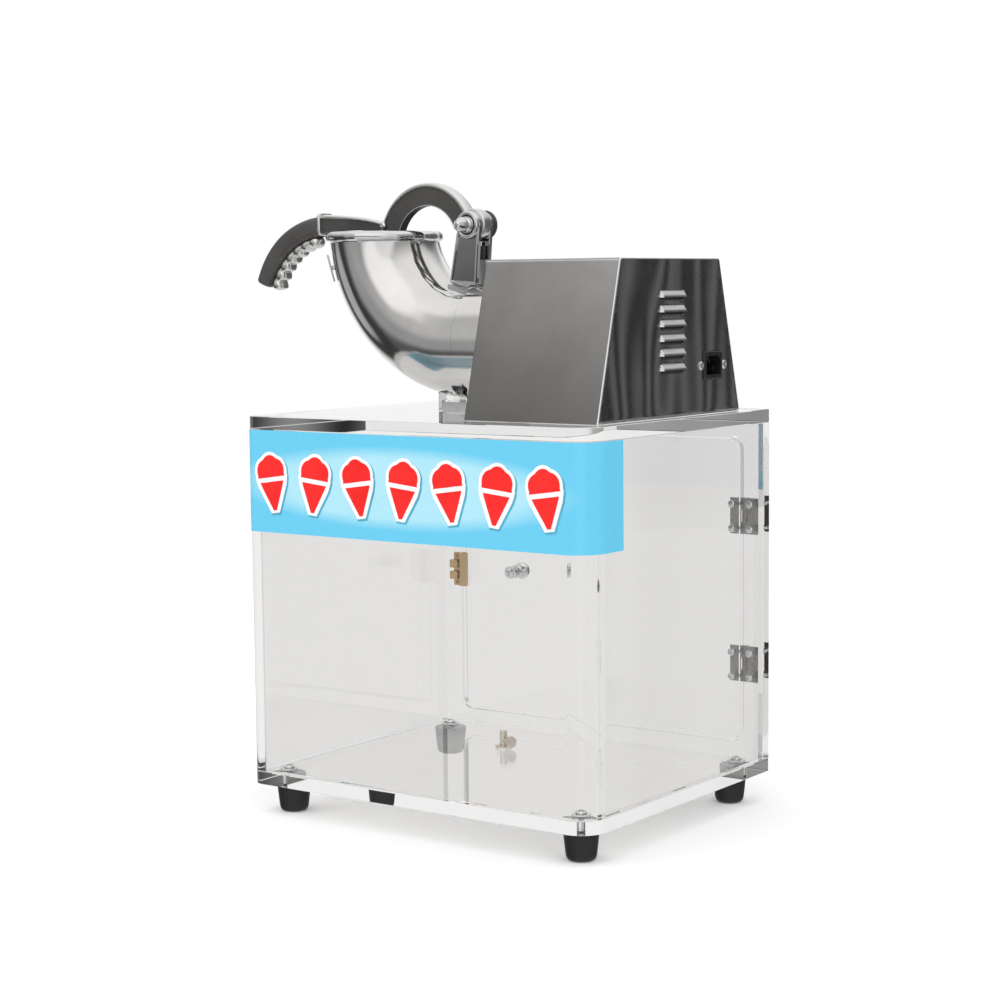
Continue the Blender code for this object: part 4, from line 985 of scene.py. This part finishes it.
class SHAVER_OT_housing(PieceOperator, bpy.types.Operator):
    """The folded motor housing with louvres, inlet, switch and its hem"""

    bl_idname = "shaver.housing"
    bl_label = "Motor housing"

    FOLD = 1.4

    def build(self, settings):
        sizes = settings.housing
        top = HOUSE_HIGH[2]

        def choose(middles):
            """0 on the satin walls, 1 on the mirror face, 2 in the louvres' slots, painted black as painted shade in
            the openings, 3 on folds and louvres, chrome that is smoother, and brighter as a painted highlight.
            """
            x, y, z = middles.T
            # Folds and louvre hoods take chrome: smoother than the satin, and brighter as a painted highlight on the
            # same sheet.
            edge = (np.abs(y) > self.half_width(z) - 3.0) | (z > top - 2.5)
            fold = (x > HOUSE_RIGHT - 1.38) & (x < HOUSE_RIGHT - 0.02) & edge
            fold |= (x < HOUSE_RIGHT - 1.0) & (z > top - 2.1) & (z < top - 0.02)
            # Faces in the louvres' slots are painted black: painted shade in the openings.
            slot = self.in_slot(middles, sizes)
            return np.select([fold | (x > HOUSE_RIGHT + 0.3), slot, x > HOUSE_RIGHT - 0.4], [3, 2, 1], 0)

        finishes = ["satin", "mirror", "black", "chrome"]
        cover = self.cover(sizes)
        put("housing_folded", cover, finishes, "machine", ("housing_cover",), 40, choose)
        base_low, base_high = span("housing_base")
        outline = rounded(base_low[:2], base_high[:2], [1.5] * 4, 4)
        layers = [(base_low[2], 0.3), (base_low[2] + 0.3, 0), (base_high[2] - 1.0, 0), (base_high[2], 1.0)]
        put("housing_hem", stacked(outline, layers), "chrome", stands_for=("housing_base",))
        refined("power_inlet", "black", "machine", 0.35)
        for side in ("front", "back"):
            node = f"inlet_screw_{side}"
            _, y, z = np.mean(span(node), 0)
            head = pan_screw((HOUSE_RIGHT + 0.1, y, z), (1, 0, 0), 4.0, 2.2)
            put(f"{node}_head", head, "chrome", stands_for=(node,))
        refined("switch_bezel", "black", "machine", 0.4)
        refined("rocker_switch", "signal", "rocker", 0.5)

    def half_width(self, z):
        """Half the housing's depth at a height: a straight line from its foot to its top."""
        return np.interp(z, [HOUSE_LOW[2], HOUSE_HIGH[2]], [-HOUSE_LOW[1], 81.3])

    def in_slot(self, middles, sizes):
        """Faces that lie in the dark opening under a louvre's lip."""
        x, y, z = middles.T
        row = (z - sizes.lowest) / sizes.pitch
        nearest = np.round(row)
        above = (row - nearest) * sizes.pitch
        inside = (nearest >= 0) & (nearest < sizes.louvres) & (np.abs(y) < sizes.long / 2 - 2.0)
        return inside & (above < 0) & (above > -4.5) & (x < HOUSE_RIGHT - 0.3) & (x > HOUSE_RIGHT - 3)

    def cover(self, sizes):
        """The right face is a height field over (y, z) with louvres pressed out and an opening for the inlet; its
        edge is rounded and carried to the left face."""
        (left, near, base), (_, _, top), fold = HOUSE_LOW, HOUSE_HIGH, 2.2
        (front, back), (under, over) = (52.4, 85.0), (398.7, 424.3)
        z = [np.linspace(base, top - fold, 40), top - fold + fold * np.sin(sweep(0, 90, 8))]
        for row in range(sizes.louvres):
            lip = sizes.lowest + row * sizes.pitch - 2.8
            z.append(lip + np.array([-3.1, -3.0, -2.0, -0.15, 0.0, 0.4, 0.9, 1.6, 2.6, 3.8, 5.0, 6.2]))
        z.append(np.array([under, over]))
        z = np.unique(np.round(np.concatenate(z), 3))
        end = sizes.long / 2
        flank = end + np.linspace(-4, 1.0, 11)
        y = [np.linspace(near, -near, 60), np.linspace(-end, end, 48), np.array([front, back]), flank, -flank]
        y = np.unique(np.round(np.concatenate(y), 3))
        half = self.half_width(z)
        half -= fold * 0.8 * (1 - np.sqrt(np.clip(1 - (np.clip(z - (top - fold), 0, fold) / fold) ** 2, 0, 1)))
        grid_y = np.clip(y[None], -half[:, None], half[:, None])
        grid_z = np.repeat(z[:, None], len(y), 1)
        lift = self.louvre_lift(grid_y, grid_z, sizes)
        face = np.stack([HOUSE_RIGHT + lift, grid_y, grid_z], -1)
        rows, cols = face.shape[:2]
        cells = np.array(quads(rows, cols)).reshape(rows - 1, cols - 1, 4)
        middle_y, middle_z = (y[1:] + y[:-1]) / 2, (z[1:] + z[:-1]) / 2
        hole = ((middle_y > front) & (middle_y < back))[None] & ((middle_z > under) & (middle_z < over))[:, None]
        edge = border(face)
        shifts = [(turn, HOUSE_RIGHT + self.FOLD * (math.cos(turn) - 1)) for turn in sweep(0, 90, 5)[1:]]
        shifts += [(turn, left + self.FOLD * (1 - math.cos(turn))) for turn in sweep(90, 0, 5)]
        stations = np.array([edge] + [self.grown(edge, turn, x) for turn, x in shifts])
        faces = quads(len(stations), len(edge), around_cols=True)
        faces.append(list(range((len(stations) - 1) * len(edge), len(stations) * len(edge))))
        opening = np.array([[front, under], [back, under], [back, over], [front, over]])
        lining = np.stack([np.insert(opening, 0, x, axis=1) for x in (HOUSE_RIGHT, HOUSE_RIGHT - 1.5)])
        return together(
            (face.reshape(-1, 3), cells[~hole].tolist()),
            (stations.reshape(-1, 3), faces),
            (lining.reshape(-1, 3), quads(2, 4, around_cols=True)),
        )

    def grown(self, edge, turn, x):
        """The face's edge moved out in its own plane by FOLD sin t, and set at a place along X."""
        middle = np.array([0.0, (HOUSE_LOW[2] + HOUSE_HIGH[2]) / 2])
        away = edge[:, 1:] - middle
        scale = 1 + self.FOLD * math.sin(turn) / np.abs(away).max(0)
        return np.insert(middle + away * scale, 0, x, axis=1)

    def louvre_lift(self, y, z, sizes):
        """Height of the pressed louvres: each rises from flush at its top to its lip, with a shallow slot below."""
        lift = np.zeros_like(y)
        end = sizes.long / 2
        side = np.clip((end - np.abs(y)) / 3.0, 0, 1)
        side = side * side * (3 - 2 * side)
        for row in range(sizes.louvres):
            above = z - (sizes.lowest + row * sizes.pitch - 2.8)
            hood = np.clip(1 - above / 6.2, 0, 1)
            hood = np.where(above >= -0.01, np.sin(hood * math.pi / 2) ** 1.3, 0)
            slot = np.where((above < -0.1) & (above > -3.05), -1.6, 0.0) * (np.abs(y) < end - 2.0)
            lift += sizes.proud * hood * side + slot
        return lift


class SHAVER_OT_drive(PieceOperator, bpy.types.Operator):
    """The cutting chamber, motor, bearings, rotor and the small pieces inside"""

    bl_idname = "shaver.drive"
    bl_label = "Chamber and drive"

    PLAIN = (
        ("motor_adapter", "cast", "machine", "cast_aluminium", 0.5),
        ("motor_cradle", "cast", "machine", "cast_aluminium", 0.5),
        ("motor_casing", "enamel", "machine", "motor_paint", 1.0),
        ("support_screw", "chrome", "machine", "stainless", 0),
        ("fan", "black", "rotor", "black_plastic", 0.3),
        ("blade_disc", "stainless", "rotor", "stainless", 0.3),
        ("blade_1", "chrome", "rotor", "stainless", 0.1),
        ("blade_2", "chrome", "rotor", "stainless", 0.1),
        ("drive_shaft", "stainless", "rotor", "stainless", 0.4),
        ("armature", "iron", "rotor", "motor_steel", 0.4),
        ("front_bearing", "chrome", "machine", "chrome", 0.3),
        ("rear_bearing", "chrome", "machine", "chrome", 0.3),
        ("safety_plunger", "black", "plunger", "black_plastic", 0.3),
    )

    def build(self, settings):
        refined("cutter_housing", "polished", "machine", 0.6, reshape=self.slimmed)
        high = span("cutter_housing")[1]
        screws = []
        for angle in np.radians(np.arange(6) * 60):
            spot = (high[0], SHAFT[1] + 50 * math.cos(angle), SHAFT[2] + 50 * math.sin(angle))
            screws.append(cap_screw(spot, (1, 0, 0), 2.6, 3.4))
        put("chamber_screws", together(*screws), "chrome")
        for node, finish, body, slot, bevel in self.PLAIN:
            refined(node, finish, body, bevel)

    def slimmed(self, points):
        """The chamber's outside brought in to the elbow's: radius r becomes 52 + 0.05 (r - 52), but for its foot."""
        away = points[:, 1:] - SHAFT[1:]
        radius = np.maximum(np.linalg.norm(away, axis=1), 1e-6)
        slim = np.where((radius > 52.0) & (away[:, 1] > -50.0), (52.0 + 0.05 * (radius - 52.0)) / radius, 1.0)
        return np.column_stack([points[:, 0], SHAFT[1:] + away * slim[:, None]])


class SHAVER_OT_stage(PieceOperator, bpy.types.Operator):
    """A plain pale floor, soft lamps, a white room and the camera"""

    bl_idname = "shaver.stage"
    bl_label = "Stage"

    CAMERA = np.array([1163.75, -1629.68, 485.79])
    LENS, SENSOR = 78.4527, 36.0
    AZIMUTH, DOWN, ROLL = 35.794, 5.665, -0.565
    LAMPS = (
        ("left_box", (-1500, -1500, 1350), (1000, 1300), 5.0),
        ("right_box", (1900, -900, 1300), (500, 1300), 3.0),
        ("top_box", (150, -250, 2000), (1300, 900), 9.0),
    )
    BASE, THROUGH = 0.38, 0.885
    BACKDROP, STRIPED = (-0.585, 0.811, 0.05), (0.585, 0.811, -0.05)
    PATCHES = (
        ((0, 0, 1), 0.30, 0.75, 1.0),
        ((0, 0, -1), 0.22, 0.50, 0.80),
        (BACKDROP, 0.70, 0.92, 1.0),
        ((-0.95, -0.15, -0.25), 0.84, 0.95, 0.05),
        (STRIPED, 0.80, 0.93, None),
        ((-0.58, -0.76, 0.42), 0.90, 0.98, 0.60),
        ((0.05, -0.86, 0.50), 0.84, 0.93, 1.15),
        ((0.585, -0.80, 0.12), 0.90, 0.96, 0.95),
        ((-0.58, -0.62, -0.52), 0.93, 0.975, 0.10),
        ((-0.97, -0.10, -0.20), 0.97, 0.99, 0.50),
    )

    def build(self, settings):
        self.camera()
        self.floor()
        self.lamps()
        self.room()
        bpy.context.scene.view_settings.view_transform = "Standard"

    def stripes(self, net, direction):
        """Upright pale stripes in a dark part of the room: a sine of the direction's sideways share."""
        sideways = net.vector("DOT_PRODUCT", direction, (0.811 * 95, -0.585 * 95, 9.0), output="Value")
        return net.ramp(net.math("SINE", sideways), -1.0, 1.0, 0.01, 0.25)

    def camera(self):
        a, down, roll = (math.radians(value) for value in (self.AZIMUTH, self.DOWN, self.ROLL))
        ahead = Vector((-math.sin(a) * math.cos(down), math.cos(a) * math.cos(down), -math.sin(down)))
        level = Vector((math.cos(a), math.sin(a), 0))
        above = level.cross(ahead)
        right = level * math.cos(roll) + above * math.sin(roll)
        up = -level * math.sin(roll) + above * math.cos(roll)
        data = bpy.data.cameras.new("camera")
        data.lens, data.sensor_width = self.LENS, self.SENSOR
        camera = bpy.data.objects.new("camera", data)
        turn = Matrix((right, up, -ahead)).transposed()
        camera.matrix_world = Matrix.Translation(Vector((self.CAMERA + CENTRE) * MM)) @ turn.to_4x4()
        bpy.context.scene.collection.objects.link(camera)
        bpy.context.scene.camera = camera

    def floor(self):
        """A round white table top just below the feet, as bright as the room where it is seen through the sheets."""
        finish = Finish("white_floor")
        through = finish.node("ShaderNodeLightPath").outputs["Is Transmission Ray"]
        white = finish.blend(finish.noise(4.0), (0.93,) * 3, (0.95,) * 3)
        finish.set(Base_Color=finish.blend(through, white, (0.0, 0.0, 0.0)), Roughness=0.6, Specular_IOR_Level=0.0)
        glow = finish.ramp(through, 0.0, 1.0, 0.10, self.THROUGH)
        finish.set(Emission_Color=(1.0, 1.0, 1.0), Emission_Strength=glow)
        angle = np.linspace(0, 2 * math.pi, 96, endpoint=False)
        rim = np.insert(2500 * directions(angle), 2, -0.2, axis=1)
        mesh = bpy.data.meshes.new("floor")
        mesh.from_pydata((rim + CENTRE) * MM, [], [list(range(len(rim)))])
        obj = bpy.data.objects.new("floor", mesh)
        mesh.materials.append(finish.material)
        bpy.context.scene.collection.objects.link(obj)
        obj.visible_glossy = False

    def lamps(self):
        target = Vector((0, 0, 0.35))
        for name, place, size, power in self.LAMPS:
            data = bpy.data.lights.new(name, "AREA")
            data.shape = "RECTANGLE"
            data.size, data.size_y = size[0] * MM, size[1] * MM
            data.energy = power
            # Metal mirrors the room's own patches instead.
            lamp = bpy.data.objects.new(name, data)
            lamp.visible_glossy = False
            spot = Vector(place) * MM
            turn = (spot - target).to_track_quat("Z", "Y")
            lamp.matrix_world = Matrix.Translation(spot) @ turn.to_matrix().to_4x4()
            bpy.context.scene.collection.objects.link(lamp)

    def room(self):
        """White where it is seen straight on. Metal mirrors a room of soft patches: each has a direction, the
        cosines where it starts and where it is full, and a tone."""
        world = bpy.data.worlds.new("room")
        world.use_nodes = True
        net = Nodes(world.node_tree)
        direction = net.node("ShaderNodeTexCoord").outputs["Generated"]
        path = net.node("ShaderNodeLightPath").outputs

        def mix(share, first, second):
            made = net.node("ShaderNodeMix")
            for index, value in ((0, share), (2, first), (3, second)):
                net.feed(made, index, value)
            return made.outputs[0]

        tone = self.BASE
        for toward, starts, full, patch in self.PATCHES:
            dot = net.vector("DOT_PRODUCT", direction, Vector(toward).normalized(), output="Value")
            reach = net.ramp(dot, starts, full, 0.0, 1.0, "SMOOTHSTEP")
            tone = mix(reach, tone, self.stripes(net, direction) if patch is None else patch)
            if toward == self.BACKDROP:
                behind = reach
        shown = mix(path["Is Glossy Ray"], mix(path["Is Diffuse Ray"], 1.0, 0.92), tone)
        clear = mix(behind, mix(0.55, tone, self.THROUGH), self.THROUGH)
        shown = mix(path["Is Transmission Ray"], shown, clear)
        net.feed(net.tree.nodes["Background"], "Color", shown)
        bpy.context.scene.world = world


OPERATORS = (
    SHAVER_OT_cabinet,
    SHAVER_OT_banner,
    SHAVER_OT_door,
    SHAVER_OT_feet,
    SHAVER_OT_hopper,
    SHAVER_OT_pivot,
    SHAVER_OT_handle,
    SHAVER_OT_housing,
    SHAVER_OT_drive,
    SHAVER_OT_stage,
)


class SHAVER_PT_pieces(bpy.types.Panel):
    """Builds each group of pieces"""

    bl_label = "Shaved Ice Machine"
    bl_idname = "SHAVER_PT_pieces"
    bl_space_type = "VIEW_3D"
    bl_region_type = "UI"
    bl_category = "Ice Shaver"

    def draw(self, context):
        for operator in OPERATORS:
            self.layout.operator(operator.bl_idname)
        settings = context.scene.ice_shaver
        for group in ("cabinet", "hopper", "housing", "handle"):
            box = self.layout.box()
            box.label(text=group.capitalize())
            sizes = getattr(settings, group)
            for key in sizes.__annotations__:
                box.prop(sizes, key)


CLASSES = (CabinetSizes, HopperSizes, HousingSizes, HandleSizes, ShaverSettings, *OPERATORS, SHAVER_PT_pieces)


def register():
    for entry in CLASSES:
        bpy.utils.register_class(entry)
    bpy.types.Scene.ice_shaver = PointerProperty(type=ShaverSettings)


def unregister():
    del bpy.types.Scene.ice_shaver
    for entry in reversed(CLASSES):
        bpy.utils.unregister_class(entry)


def main():
    register()
    prepare_finishes()
    for operator in OPERATORS:
        group, name = operator.bl_idname.split(".")
        getattr(getattr(bpy.ops, group), name)()


if __name__ == "__main__":
    main()
